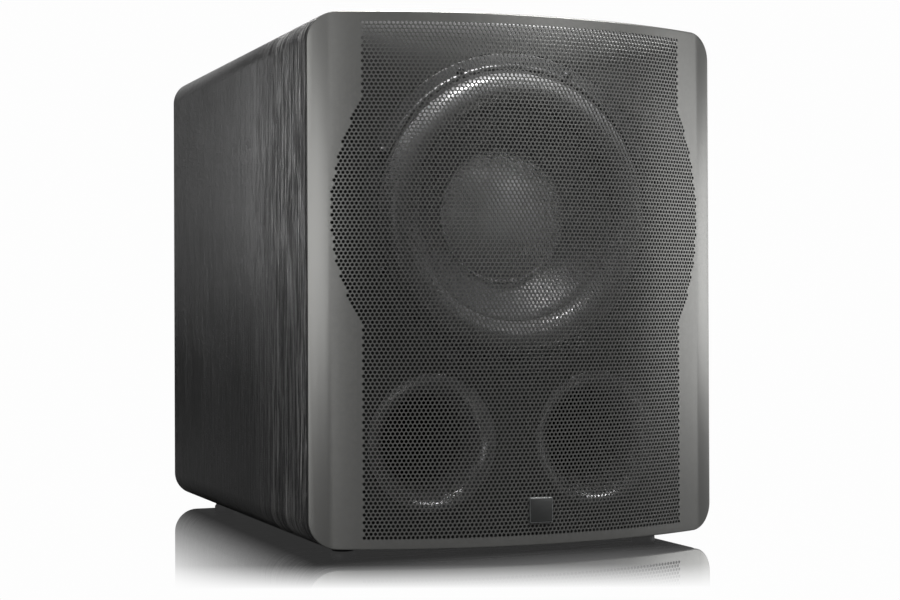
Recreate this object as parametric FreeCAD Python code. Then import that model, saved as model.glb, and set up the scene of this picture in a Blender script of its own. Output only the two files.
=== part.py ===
"""Front-ported subwoofer: a veneered box, a 13.5 inch woofer over two flared ports,
a curved pull-off metal grille and a plate amplifier in the back panel.

Millimetres. +X is to the right seen from the front, -Y is the front, +Z is up.
The origin is on the floor under the middle of the whole object.
"""

import FreeCAD, Part
import math
import os

V = FreeCAD.Vector
X_AXIS, Y_AXIS, Z_AXIS = V(1, 0, 0), V(0, 1, 0), V(0, 0, 1)

# ---- driving dimensions: cabinet -------------------------------------------------------
cabinet_width = 465.0
cabinet_height = 546.0
cabinet_depth = 594.0
corner_radius = 29.0
wall = 19.0
baffle_thickness = 38.0
back_thickness = 25.0
brace_thickness = 18.0
brace_rim = 34.0
brace_cross = 40.0
brace_window_radius = 22.0

# ---- driving dimensions: feet ----------------------------------------------------------
foot_height = 10.0
foot_radius = 13.0
foot_inset_side = 55.0
foot_inset_end = 50.0
foot_screw_radius = 2.5
foot_screw_length = 15.0
foot_counterbore = 6.0
foot_hole_clearance = 0.3

# ---- driving dimensions: grille --------------------------------------------------------
grille_gap = 4.0
grille_bulge = 58.0
sheet_thickness = 1.6
frame_rail_width = 8.0
frame_rail_inset = 5.0
frame_rim_width = 4.0
frame_rim_inset = 1.5
frame_rim_depth = 6.0
frame_stand_off = 1.0
boss_width = 34.0
boss_height = 30.0
stud_radius = 3.5
stud_length = 14.0
stud_inset = 32.5
stud_running_clearance = 0.06
cup_radius = 7.0
cup_flange_radius = 9.0
cup_flange = 0.5
cup_length = 16.0
badge_side = 26.0
badge_thickness = 2.4
badge_low_edge = 23.0
badge_corner = 1.2

# ---- driving dimensions: woofer --------------------------------------------------------
woofer_height = 344.0
flange_radius = 171.0
flange_thickness = 6.0
flange_clearance = 1.0
gasket_thickness = 1.5
roll_outer = 150.0
roll_inner = 114.0
roll_height = 18.0
roll_wall = 1.8
roll_lip = 5.0
basket_throat_radius = 152.0
basket_wall = 5.0
basket_depth = 128.0
basket_rear_radius = 98.0
basket_plate = 7.0
basket_windows = 8
cone_edge_depth = 4.0
cone_neck_depth = 64.0
cone_wall = 2.0
cap_radius = 72.0
cap_rise = 25.0
cap_rim = 3.0
cap_wall = 1.6
coil_radius = 38.0
former_wall = 0.5
winding_wall = 2.0
winding_length = 42.0
gap_clearance = 0.8
spider_radius = 108.0
spider_depth = 88.0
spider_wave = 4.0
spider_rolls = 6
spider_wall = 1.4
terminal_depth = 86.0
terminal_radius = 131.0
terminal_side = 16.0
tinsel_radius = 1.1
tinsel_land_radius = 62.0
top_plate_thickness = 12.0
top_plate_radius = 85.0
ferrite_radius = 96.0
ferrite_bore = 48.0
ferrite_thickness = 20.0
ferrite_count = 2
back_plate_thickness = 12.0
pole_vent_radius = 12.0
woofer_screws = 8
woofer_screw_circle = 162.0
woofer_screw_radius = 2.6
woofer_screw_length = 28.0
woofer_screw_head = 4.6

# ---- driving dimensions: ports ---------------------------------------------------------
port_side = 95.0
port_height = 104.0
port_radius = 46.0
port_mouth_radius = 72.0
port_flange = 4.0
port_flange_clearance = 0.6
port_flare_length = 40.0
flare_lip_width = 7.2
flare_steps = 10
port_wall = 3.0
port_bend_radius = 70.0
port_riser_back = 440.0
port_riser_length = 170.0
port_end_radius = 64.0
joint_clearance = 0.4

# ---- driving dimensions: amplifier -----------------------------------------------------
amp_width = 240.0
amp_height = 330.0
amp_recess = 6.0
amp_plate_thickness = 4.0
amp_plate_corner = 6.0
amp_rebate_clearance = 1.0
amp_gasket_thickness = 1.5
amp_border = 14.0
amp_centre_height = 273.0
chassis_depth = 70.0
chassis_wall = 1.5
chassis_clearance = 2.0
amp_screw_radius = 2.0
amp_screw_length = 18.0
amp_screw_inset = 7.0
speaker_lead_radius = 1.7
knob_radius = 11.0
knob_height = 12.0
knob_off_plate = 0.8
knob_spacing = 70.0
shaft_radius = 3.0
shaft_clearance = 0.05
bushing_radius = 4.5
bushing_nut = 1.2
pot_body = 17.0
hole_clearance = 0.15
rocker_width = 12.0
rocker_height = 24.0
rocker_tilt = 8.0
rocker_clearance = 0.7
rocker_pin_radius = 1.5
slider_width = 4.0
slider_height = 2.6
slider_travel = 6.0
slider_clearance = 0.35

# ---- places that follow ----------------------------------------------------------------
rear_reach = knob_height - amp_recess
overall_depth = badge_thickness + grille_bulge + grille_gap + cabinet_depth + rear_reach
y_front = -overall_depth / 2
y_crest = y_front + badge_thickness
y_sheet_edge = y_crest + grille_bulge
y_baffle = y_sheet_edge + grille_gap
y_back = y_baffle + cabinet_depth
y_face = y_back - amp_recess
z_bottom = foot_height
z_top = z_bottom + cabinet_height
half_width = cabinet_width / 2
z_woofer = z_bottom + woofer_height
z_port = z_bottom + port_height
z_amp = z_bottom + amp_centre_height
arc_radius = (half_width**2 + grille_bulge**2) / (2 * grille_bulge)
y_arc = y_crest + arc_radius
sheet_inner_radius = arc_radius - sheet_thickness
inner_half_width = half_width - wall
inner_low, inner_high = z_bottom + wall, z_top - wall
brace_places = (y_baffle + 236.0, y_baffle + 330.0)
stud_heights = (z_bottom + 60.0, z_bottom + 205.0, z_bottom + 486.0)
foot_places = [
    (side * (half_width - foot_inset_side), y)
    for side in (-1, 1)
    for y in (y_baffle + foot_inset_end, y_back - foot_inset_end)
]


# ---- shape helpers ---------------------------------------------------------------------
def box(x0, x1, y0, y1, z0, z1):
    return Part.makeBox(x1 - x0, y1 - y0, z1 - z0, V(x0, y0, z0))


def rod_y(radius, y0, y1, x, z):
    return Part.makeCylinder(radius, y1 - y0, V(x, y0, z), Y_AXIS)


def rod_z(radius, z0, z1, x, y):
    return Part.makeCylinder(radius, z1 - z0, V(x, y, z0), Z_AXIS)


def rod_x(radius, x0, x1, y, z):
    return Part.makeCylinder(radius, x1 - x0, V(x0, y, z), X_AXIS)


def lathe(outline, centre, axis):
    """Turns a closed outline of (radius, distance along axis) round the axis through centre.
    A step is a point, or a pair of points for an arc through the first to the second."""
    side = X_AXIS if abs(axis.x) < 0.5 else Y_AXIS

    def place(point):
        return centre + side * point[0] + axis * point[1]

    edges, here = [], outline[0]
    for step in outline[1:] + [outline[0]]:
        if isinstance(step[0], tuple):
            middle, end = step
            edges.append(Part.Arc(place(here), place(middle), place(end)).toShape())
        else:
            end = step
            if place(here).distanceToPoint(place(end)) < 1e-6:
                continue
            edges.append(Part.LineSegment(place(here), place(end)).toShape())
        here = end
    return Part.Face(Part.Wire(edges)).revolve(centre, axis, 360)


def plate_xz(width, height, radius, y0, y1, x, z):
    """A plate with rounded corners, facing along Y."""
    plate = box(x - width / 2, x + width / 2, y0, y1, z - height / 2, z + height / 2)
    if radius <= 0:
        return plate
    corners = [
        e
        for e in plate.Edges
        if abs(e.Vertexes[0].X - e.Vertexes[1].X) < 1e-6
        and abs(e.Vertexes[0].Z - e.Vertexes[1].Z) < 1e-6
    ]
    return plate.makeFillet(radius, corners)


def around(shape, count, centre, axis, first=0.0):
    copies = []
    for i in range(count):
        turned = shape.copy()
        turned.rotate(centre, axis, first + 360.0 * i / count)
        copies.append(turned)
    return copies


def fuse(shapes):
    result = shapes[0]
    if len(shapes) > 1:
        result = result.multiFuse(shapes[1:])
    return result.removeSplitter()


def cut(shape, tools):
    return shape.cut(Part.makeCompound(tools))


def tube_through(points, radius, share=0.45):
    """A round wire: straight runs joined by tangent arcs, as large as the runs allow."""
    places = [V(*p) for p in points]
    edges, here = [], places[0]
    for before, corner, after in zip(places, places[1:], places[2:]):
        back, ahead = before - corner, after - corner
        trim = share * min(back.Length, ahead.Length)
        back.normalize()
        ahead.normalize()
        start, end = corner + back * trim, corner + ahead * trim
        half = back.getAngle(ahead) / 2
        bend = trim * math.tan(half)
        inward = back + ahead
        inward.normalize()
        middle = corner + inward * (bend / math.sin(half) - bend)
        edges.append(Part.LineSegment(here, start).toShape())
        edges.append(Part.Arc(start, middle, end).toShape())
        here = end
    edges.append(Part.LineSegment(here, places[-1]).toShape())
    spine = Part.Wire(edges)
    first = places[1] - places[0]
    circle = Part.Wire(Part.makeCircle(radius, places[0], first))
    return spine.makePipeShell([circle], True, False)


def screw(x, y, z, out, head_radius, head_height, radius, length, recess=True):
    """A button-head screw whose head sits on (x, y, z) and points out along out."""
    place = V(x, y, z)
    head = [(0, 0), (head_radius, 0), (head_radius, head_height * 0.4)]
    head += [((head_radius * 0.8, head_height * 0.85), (head_radius * 0.45, head_height))]
    head += [(0, head_height)]
    solid = lathe(head, place, out)
    shank = Part.makeCylinder(radius, length, place, out * -1)
    body = fuse([solid, shank])
    if recess:
        drive = hex_rod(head_radius * 0.5, head_height * 0.6, place + out * head_height, out * -1)
        body = body.cut(drive)
    return body


def hex_rod(radius, length, place, axis):
    side = X_AXIS if abs(axis.x) < 0.5 else Y_AXIS
    across = axis.cross(side)
    points = []
    for i in range(7):
        angle = math.radians(60 * i)
        points.append(place + side * (radius * math.cos(angle)) + across * (radius * math.sin(angle)))
    return Part.Face(Part.makePolygon(points)).extrude(axis * length)


def woofer_axis_point():
    return V(0, y_baffle, z_woofer)


def save(name, solids):
    if not isinstance(solids, list):
        solids = [solids]
    pieces = []
    for shape in solids:
        pieces += shape.Solids
    for piece in pieces:
        if not piece.isValid():
            print("not valid:", name)
    Part.makeCompound(pieces).exportStep(f"parts/{name}.step")


# ---- cabinet ---------------------------------------------------------------------------
def cabinet_outline():
    return plate_xz(
        cabinet_width, cabinet_height, corner_radius, y_baffle, y_back, 0, (z_bottom + z_top) / 2
    )


def mitred_panel(corner_a, corner_b, inner_b, inner_a):
    """One side of the wrap: the outline between two mitre planes."""
    points = [V(x, y_baffle, z) for x, z in (corner_a, corner_b, inner_b, inner_a, corner_a)]
    prism = Part.Face(Part.makePolygon(points)).extrude(Y_AXIS * cabinet_depth)
    return prism.common(cabinet_outline())


def foot_screw_holes():
    top = foot_seat() + foot_screw_length + 1
    return [rod_z(foot_screw_radius, z_bottom - 1, top, x, y) for x, y in foot_places]


def cabinet_panels():
    left, right = -half_width, half_width
    inner_left, inner_right = -inner_half_width, inner_half_width
    panels = {
        "side_panel_left": mitred_panel(
            (left, z_bottom), (left, z_top), (inner_left, inner_high), (inner_left, inner_low)
        ),
        "side_panel_right": mitred_panel(
            (right, z_bottom), (right, z_top), (inner_right, inner_high), (inner_right, inner_low)
        ),
        "top_panel": mitred_panel(
            (left, z_top), (right, z_top), (inner_right, inner_high), (inner_left, inner_high)
        ),
        "bottom_panel": mitred_panel(
            (left, z_bottom), (right, z_bottom), (inner_right, inner_low), (inner_left, inner_low)
        ),
    }
    panels["bottom_panel"] = cut(panels["bottom_panel"], foot_screw_holes())
    return panels


def woofer_screw_places():
    for i in range(woofer_screws):
        angle = math.radians(360.0 * (i + 0.5) / woofer_screws)
        yield (
            woofer_screw_circle * math.cos(angle),
            z_woofer + woofer_screw_circle * math.sin(angle),
        )


def stud_places():
    return [(side * (half_width - stud_inset), z) for side in (-1, 1) for z in stud_heights]


def front_baffle():
    board = box(
        -inner_half_width, inner_half_width, y_baffle, y_baffle + baffle_thickness,
        inner_low, inner_high,
    )
    rear = y_baffle + baffle_thickness + 1
    recess_floor = y_baffle + flange_thickness + gasket_thickness
    tools = [
        rod_y(flange_radius + flange_clearance, y_baffle - 1, recess_floor, 0, z_woofer),
        rod_y(basket_throat_radius + 2, y_baffle - 1, rear, 0, z_woofer),
    ]
    screw_hole = woofer_screw_radius + hole_clearance
    for x, z in woofer_screw_places():
        tools.append(rod_y(screw_hole, y_baffle, y_baffle + woofer_screw_length + 1, x, z))
    flare_hole = port_mouth_radius - 6
    for side in (-1, 1):
        x = side * port_side
        seat = port_mouth_radius + port_flange_clearance
        tools.append(rod_y(seat, y_baffle - 1, y_baffle + port_flange, x, z_port))
        tools.append(rod_y(flare_hole, y_baffle - 1, rear, x, z_port))
    for x, z in stud_places():
        tools.append(rod_y(cup_radius, y_baffle - 1, y_baffle + cup_length, x, z))
        tools.append(rod_y(cup_flange_radius, y_baffle - 1, y_baffle + cup_flange, x, z))
    return cut(board, tools)


def amp_opening_size():
    return amp_width - 2 * amp_border, amp_height - 2 * amp_border


def amp_screw_places():
    across = amp_width / 2 - amp_screw_inset
    up = amp_height / 2 - amp_screw_inset
    rows = (-1, -0.34, 0.34, 1)
    places = [(side * across, z_amp + row * up) for side in (-1, 1) for row in rows]
    return places + [(0, z_amp + end * up) for end in (-1, 1)]


def back_panel():
    y_inner = y_back - back_thickness
    board = box(-inner_half_width, inner_half_width, y_inner, y_back, inner_low, inner_high)
    opening_width, opening_height = amp_opening_size()
    rebate_floor = y_face - amp_plate_thickness - amp_gasket_thickness
    spare = 2 * amp_rebate_clearance
    tools = [
        plate_xz(
            amp_width + spare, amp_height + spare, amp_plate_corner + amp_rebate_clearance,
            rebate_floor, y_back + 1, 0, z_amp,
        ),
        plate_xz(opening_width, opening_height, 0, y_inner - 1, y_back, 0, z_amp),
    ]
    for x, z in amp_screw_places():
        screw_hole = amp_screw_radius + hole_clearance
        tools.append(rod_y(screw_hole, y_face - amp_screw_length - 1, y_back, x, z))
    return cut(board, tools)


def window_brace(y):
    """A board across the inside with four windows and a hole for each port tube."""
    board = box(
        -inner_half_width, inner_half_width, y, y + brace_thickness, inner_low, inner_high
    )
    port_hole = port_radius + port_wall + joint_clearance
    port_clear = z_port + port_hole + brace_rim / 2
    middle = (port_clear + inner_high - brace_rim + brace_cross) / 2
    window_width = inner_half_width - brace_rim - brace_cross / 2
    tools = []
    for side in (-1, 1):
        x = side * (brace_cross / 2 + window_width / 2)
        for low, high in ((port_clear, middle - brace_cross), (middle, inner_high - brace_rim)):
            tools.append(
                plate_xz(
                    window_width, high - low, brace_window_radius,
                    y - 1, y + brace_thickness + 1, x, (low + high) / 2,
                )
            )
        tools.append(
            rod_y(port_hole, y - 1, y + brace_thickness + 1, side * port_side, z_port)
        )
    return cut(board, tools)


def foot_seat():
    return foot_height * 0.55


def rubber_feet():
    hole = foot_screw_radius + foot_hole_clearance
    feet = []
    for x, y in foot_places:
        outline = [(hole, foot_height), (foot_radius, foot_height), (foot_radius, 2.0)]
        outline += [((foot_radius - 0.6, 0.6), (foot_radius - 2.0, 0))]
        outline += [(foot_counterbore, 0), (foot_counterbore, foot_seat()), (hole, foot_seat())]
        feet.append(lathe(outline, V(x, y, 0), Z_AXIS))
    return feet


def foot_screws():
    return [
        screw(x, y, foot_seat(), Z_AXIS * -1, 4.8, 3.2, foot_screw_radius, foot_screw_length)
        for x, y in foot_places
    ]


# ---- grille ----------------------------------------------------------------------------
def grille_outline(y0, y1):
    return plate_xz(
        cabinet_width, cabinet_height, corner_radius, y0, y1, 0, (z_bottom + z_top) / 2
    )


def sheet_drum(radius):
    return rod_z(radius, z_bottom - 1, z_top + 1, 0, y_arc)


def grille_sheet():
    shell = sheet_drum(arc_radius).cut(sheet_drum(sheet_inner_radius))
    return shell.common(grille_outline(y_crest - 1, y_sheet_edge))


def rim_plate(inset):
    """The grille's outline drawn in by an inset on every side."""
    return plate_xz(
        cabinet_width - 2 * inset, cabinet_height - 2 * inset, corner_radius - inset,
        y_crest - 1, y_baffle, 0, (z_bottom + z_top) / 2,
    )


def grille_frame():
    """A rim that follows the curved sheet, two side rails and six bosses for the studs."""
    rear = y_baffle - frame_stand_off
    outer = half_width - frame_rail_inset
    rail_low, rail_high = z_bottom + corner_radius, z_top - corner_radius
    blocks = []
    for side in (-1, 1):
        near, far = sorted((side * (outer - frame_rail_width), side * outer))
        blocks.append(box(near, far, y_crest, rear, rail_low, rail_high))
    for x, z in stud_places():
        near, far = sorted((math.copysign(outer, x), math.copysign(outer - boss_width, x)))
        blocks.append(box(near, far, y_crest, rear, z - boss_height / 2, z + boss_height / 2))
    rails = fuse(blocks).common(sheet_drum(sheet_inner_radius))
    hoop = sheet_drum(sheet_inner_radius).cut(sheet_drum(sheet_inner_radius - frame_rim_depth))
    rim = rim_plate(frame_rim_inset).cut(rim_plate(frame_rim_inset + frame_rim_width))
    lap = rim_plate(frame_rail_inset).cut(
        box(frame_rail_width - outer, outer - frame_rail_width, y_front, y_back, 0, z_top)
    )
    return fuse([rails, hoop.common(rim), hoop.common(lap)])


def grille_studs():
    studs = []
    start = y_baffle - frame_stand_off
    for x, z in stud_places():
        tip = stud_length + frame_stand_off
        outline = [(0, 0), (stud_radius + 2.5, 0), (stud_radius + 2.5, 0.6), (stud_radius, 0.6)]
        outline += [(stud_radius, tip - 3), (stud_radius - 1.6, tip), (0, tip)]
        studs.append(lathe(outline, V(x, start, z), Y_AXIS))
    return studs


def grille_cups():
    cups = []
    for x, z in stud_places():
        bore = stud_radius + stud_running_clearance
        outline = [(bore, 0), (cup_flange_radius, 0), (cup_flange_radius, cup_flange)]
        outline += [(cup_radius, cup_flange), (cup_radius, cup_length), (0, cup_length)]
        outline += [(0, cup_length - 1.2), (bore, cup_length - 1.2)]
        cups.append(lathe(outline, V(x, y_baffle, z), Y_AXIS))
    return cups


def badge():
    z = z_bottom + badge_low_edge + badge_side / 2
    block = plate_xz(badge_side, badge_side, badge_corner, y_front, y_crest + 1, 0, z)
    return block.cut(sheet_drum(arc_radius))


# ---- woofer ----------------------------------------------------------------------------
def cast_frame():
    """Cast frame: its front flange, and the cage behind with windows, spider ledge and rear plate."""
    throat = basket_throat_radius
    rear = basket_depth
    start = flange_thickness + 16
    outline = [(roll_outer - 3, 1.0), (roll_outer + 0.5, 1.0), (roll_outer + 0.5, 0)]
    outline += [(flange_radius - 1, 0), (flange_radius, 1), (flange_radius, flange_thickness)]
    outline += [(throat, flange_thickness), (throat, start), (basket_rear_radius, rear - 8)]
    outline += [(basket_rear_radius, rear), (coil_radius + 8, rear), (coil_radius + 8, rear - basket_plate)]
    outline += [(basket_rear_radius - basket_wall - 3, rear - basket_plate), (throat - basket_wall, start - 2)]
    outline += [(throat - basket_wall, flange_thickness - 1), (roll_outer - 3, flange_thickness - 1)]
    body = lathe(outline, woofer_axis_point(), Y_AXIS)
    ledge_inner = spider_radius - 9
    slope = (throat - basket_rear_radius) / (rear - 8 - start)
    ledge_outer = throat - slope * (spider_depth + 6 - start) - 1
    ledge_front = spider_depth + spider_wall / 2
    ledge = [(ledge_inner, ledge_front), (ledge_outer, ledge_front)]
    ledge += [(ledge_outer, ledge_front + 6), (ledge_inner, ledge_front + 6)]
    lug_y = y_baffle + terminal_depth
    lug = box(-9, 9, lug_y, lug_y + 6, z_woofer + spider_radius + 3, z_woofer + terminal_radius + 7)
    body = fuse([body, lathe(ledge, woofer_axis_point(), Y_AXIS), lug])
    windows = []
    for near, far, width in ((start + 6, spider_depth - 8, 74), (spider_depth + 12, rear - 12, 46)):
        window = box(-width / 2, width / 2, y_baffle + near, y_baffle + far,
                     z_woofer + coil_radius, z_woofer + flange_radius)
        windows += around(window, basket_windows, woofer_axis_point(), Y_AXIS)
    hole = woofer_screw_radius + 0.3
    holes = [
        rod_y(hole, y_baffle - 1, y_baffle + flange_thickness + 1, x, z)
        for x, z in woofer_screw_places()
    ]
    for i in range(4):
        angle = math.radians(45 + 90 * i)
        reach = top_plate_radius - 12
        holes.append(rod_y(2.6, y_baffle + rear - basket_plate - 1, y_baffle + rear + 1,
                           reach * math.cos(angle), z_woofer + reach * math.sin(angle)))
    casting = cut(body, windows + holes)
    side = flange_radius + 1
    front_half = box(-side, side, y_baffle - 1, y_baffle + start, z_woofer - side, z_woofer + side)
    return {"woofer_flange": casting.common(front_half), "woofer_basket": cut(casting, [front_half])}


def woofer_gasket():
    outline = [(basket_throat_radius + 2, flange_thickness), (flange_radius, flange_thickness)]
    outline += [(flange_radius, flange_thickness + gasket_thickness)]
    outline += [(basket_throat_radius + 2, flange_thickness + gasket_thickness)]
    ring = lathe(outline, woofer_axis_point(), Y_AXIS)
    hole = woofer_screw_radius + 0.3
    return cut(ring, [
        rod_y(hole, y_baffle, y_baffle + flange_thickness + 3, x, z)
        for x, z in woofer_screw_places()
    ])


def surround():
    """Half roll of rubber between the cone's edge and the frame."""
    middle = (roll_outer + roll_inner) / 2
    half = (roll_outer - roll_inner) / 2
    base = 1.0
    crest = base - roll_height
    edge = cone_edge_depth - cone_wall / 2 - roll_wall
    shoulder = 0.72
    outline = [
        (roll_outer + 0.3, base - roll_wall),
        (roll_outer - 1.5, base - roll_wall),
        ((middle + half * shoulder, crest + roll_height * (1 - shoulder)), (middle, crest)),
        ((middle - half * shoulder, crest + roll_height * (1 - shoulder)), (roll_inner + 1.5, edge)),
        (roll_inner - roll_lip, edge),
        (roll_inner - roll_lip, edge + roll_wall),
        (roll_inner + 1.5 + roll_wall, edge + roll_wall),
        ((middle - half * shoulder + roll_wall * 0.8, crest + roll_height * (1 - shoulder) + roll_wall * 0.8),
         (middle, crest + roll_wall)),
        ((middle + half * shoulder - roll_wall * 0.8, crest + roll_height * (1 - shoulder) + roll_wall * 0.8),
         (roll_outer - 1.5 - roll_wall, base)),
        (roll_outer + 0.3, base),
    ]
    return lathe(outline, woofer_axis_point(), Y_AXIS)


def cone_front(radius):
    """Depth of the cone's front face behind the baffle's face."""
    rim, neck = roll_inner - roll_lip - 1, coil_radius + former_wall
    edge = cone_edge_depth - cone_wall / 2
    return edge + (rim - radius) / (rim - neck) * (cone_neck_depth - edge)


def cone():
    edge_radius = roll_inner + 4
    rim, neck = roll_inner - roll_lip - 1, coil_radius + former_wall
    edge = cone_front(rim)
    outline = [
        (edge_radius, edge),
        (edge_radius, edge + cone_wall),
        (rim, edge + cone_wall),
        (neck, cone_front(neck) + cone_wall),
        (neck, cone_front(neck)),
        (rim, edge),
    ]
    return lathe(outline, woofer_axis_point(), Y_AXIS)


def dust_cap():
    """Domed cap glued to the cone by a narrow sloping rim."""
    dome = cap_radius - cap_rim
    seat = cone_front(dome) - cap_wall
    rim_front, rim_back = cone_front(cap_radius) - cap_wall, cone_front(cap_radius)
    ball = (dome**2 + cap_rise**2) / (2 * cap_rise)
    half = dome * 0.55
    bow = seat - cap_rise + ball - math.sqrt(ball**2 - half**2)
    crown = seat - cap_rise
    outline = [
        (0, crown),
        ((half, bow), (dome, seat)),
        (cap_radius, rim_front),
        (cap_radius, rim_back),
        (dome, seat + cap_wall),
        ((half, bow + cap_wall), (0, crown + cap_wall)),
    ]
    return lathe(outline, woofer_axis_point(), Y_AXIS)


def coil_span():
    centre = basket_depth + top_plate_thickness / 2
    return centre - winding_length / 2, centre + winding_length / 2


def coil_former():
    inner = coil_radius
    outer = coil_radius + former_wall
    start = cone_neck_depth - 6
    outline = [(inner, start), (outer, start), (outer, coil_span()[1] + 2), (inner, coil_span()[1] + 2)]
    return lathe(outline, woofer_axis_point(), Y_AXIS)


def voice_coil():
    near, far = coil_span()
    inner = coil_radius + former_wall
    outline = [(inner, near), (inner + winding_wall, near), (inner + winding_wall, far), (inner, far)]
    return lathe(outline, woofer_axis_point(), Y_AXIS)


def spider():
    """Corrugated cloth disc from the former to the ledge."""
    inner = coil_radius + former_wall
    lip = 5.0
    start, end = inner + lip, spider_radius - lip
    step = (end - start) / (2 * spider_rolls)
    front, back = -spider_wall / 2, spider_wall / 2

    def waves(offset, forwards):
        places = []
        for i in range(2 * spider_rolls):
            sign = -1 if i % 2 else 1
            a, b = start + i * step, start + (i + 1) * step
            middle = ((a + b) / 2, spider_depth + offset + sign * spider_wave)
            ends = (b, spider_depth + offset) if forwards else (a, spider_depth + offset)
            places.append((middle, ends))
        return places if forwards else places[::-1]

    outline = [(inner, spider_depth + front), (start, spider_depth + front)]
    outline += waves(front, True)
    outline += [(spider_radius, spider_depth + front), (spider_radius, spider_depth + back)]
    outline += [(end, spider_depth + back)]
    outline += waves(back, False)
    outline += [(inner, spider_depth + back)]
    return lathe(outline, woofer_axis_point(), Y_AXIS)


def gap_radii():
    pole = coil_radius - gap_clearance
    plate = coil_radius + former_wall + winding_wall + gap_clearance
    return pole, plate


def top_plate():
    outline = [(gap_radii()[1], basket_depth), (top_plate_radius, basket_depth)]
    outline += [(top_plate_radius, basket_depth + top_plate_thickness)]
    outline += [(gap_radii()[1], basket_depth + top_plate_thickness)]
    return lathe(outline, woofer_axis_point(), Y_AXIS)


def ferrite_rings():
    rings = []
    start = basket_depth + top_plate_thickness
    for i in range(ferrite_count):
        near = start + i * ferrite_thickness
        far = near + ferrite_thickness
        outline = [(ferrite_bore, near), (ferrite_radius - 2, near), (ferrite_radius, near + 2)]
        outline += [(ferrite_radius, far - 2), (ferrite_radius - 2, far), (ferrite_bore, far)]
        rings.append(lathe(outline, woofer_axis_point(), Y_AXIS))
    return rings


def magnet_end():
    return basket_depth + top_plate_thickness + ferrite_count * ferrite_thickness


def yoke():
    """Back plate and vented pole in one forging."""
    pole = gap_radii()[0]
    end = magnet_end()
    far = end + back_plate_thickness
    outline = [(pole_vent_radius, basket_depth - 2), (pole, basket_depth - 2), (pole, end)]
    outline += [(top_plate_radius + 4, end), (top_plate_radius, far - 1), (top_plate_radius - 4, far)]
    outline += [(pole_vent_radius + 8, far), (pole_vent_radius, far - 6)]
    return lathe(outline, woofer_axis_point(), Y_AXIS)


def terminal_place(side):
    return side * terminal_side, y_baffle + terminal_depth, z_woofer + terminal_radius


def woofer_terminals():
    """Two spring posts on a board held by the frame's lug."""
    x, y, z = terminal_place(1)
    board = box(-x - 8, x + 8, y - 4, y, z - 8, z + 9)
    posts = [rod_y(4.0, y - 8, y + 12, side * x, z) for side in (-1, 1)]
    return fuse([board] + posts)


def tinsel_leads():
    """Braided leads from the posts through the frame's window to the back of the cone."""
    leads = []
    depth = cone_front(tinsel_land_radius) + cone_wall
    for side in (-1, 1):
        x, y, z = terminal_place(side)
        land = (x, y_baffle + depth + 0.7, z_woofer + tinsel_land_radius)
        route = [(x, y - 8.2, z), (x, y - 16, z), (x, y - 20, z - 22)]
        route += [(x, land[1] + 16, land[2] + 26), (x, land[1] + 9, land[2] + 6), land]
        leads.append(tube_through(route, tinsel_radius))
    return leads


def woofer_screw_set():
    return [
        screw(x, y_baffle, z, Y_AXIS * -1, woofer_screw_head, 2.8, woofer_screw_radius,
              woofer_screw_length)
        for x, z in woofer_screw_places()
    ]


# ---- ports -----------------------------------------------------------------------------
def flare_outline(mouth, length, lip):
    """Outline of a trumpet from its mouth at 0 to its socket, with a flat lip outside.
    Each wall is a quarter of an ellipse, drawn as short straight steps."""
    inner, outer = [], []
    for i in range(flare_steps + 1):
        angle = math.radians(90.0 * i / flare_steps)
        out, back = math.sin(angle), math.cos(angle)
        radius = port_radius + (mouth - 1.0 - port_radius) * (1 - out)
        depth = length * (1 - back)
        inner.append((radius, depth))
        outer.append((radius + port_wall * out, depth + port_wall * back))
    lip_radius = mouth - flare_lip_width
    outer = [(r, d) for r, d in outer if d > lip + 1.0 and r < lip_radius - 1.0]
    socket = [(port_radius, length + 1), (port_radius + port_wall, length + 1)]
    return inner + socket + outer[::-1] + [(lip_radius, lip), (mouth, lip), (mouth, 1.0)]


def front_flare(side):
    return lathe(
        flare_outline(port_mouth_radius, port_flare_length, port_flange),
        V(side * port_side, y_baffle, z_port), Y_AXIS,
    )


def tube_start():
    return y_baffle + port_flare_length + 1


def ring_y(inner, outer, y0, y1, x, z):
    return rod_y(outer, y0, y1, x, z).cut(rod_y(inner, y0 - 1, y1 + 1, x, z))


def port_tube(side):
    end = y_baffle + port_riser_back - port_bend_radius
    return ring_y(port_radius, port_radius + port_wall, tube_start(), end, side * port_side, z_port)


def riser_start():
    return z_port + port_bend_radius


def port_elbow(side):
    """The bend and the upright run in one moulding."""
    x, y = side * port_side, y_baffle + port_riser_back
    bend_y = y - port_bend_radius
    pivot = V(x, bend_y, riser_start())
    z0, z1 = riser_start(), riser_start() + port_riser_length
    solids = []
    for radius in (port_radius + port_wall, port_radius):
        disc = Part.Face(Part.Wire(Part.makeCircle(radius, V(x, bend_y, z_port), Y_AXIS)))
        bend = disc.revolve(pivot, X_AXIS, 90)
        solids.append(bend.fuse(rod_z(radius, z0, z1, x, y)).removeSplitter())
    return solids[0].cut(solids[1])


def end_flare(side):
    top = riser_start() + port_riser_length + port_flare_length + 1
    outline = flare_outline(port_end_radius, port_flare_length, 3.0)
    return lathe(outline, V(side * port_side, y_baffle + port_riser_back, top), Z_AXIS * -1)


# ---- amplifier -------------------------------------------------------------------------
def knob_places():
    return {
        "volume": (knob_spacing, z_amp + 122),
        "lowpass": (0.0, z_amp + 122),
        "phase": (-knob_spacing, z_amp + 122),
    }


def jack_places():
    return [(x, z_amp + 30) for x in (76.0, 50.0, 14.0, -12.0)]


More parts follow.
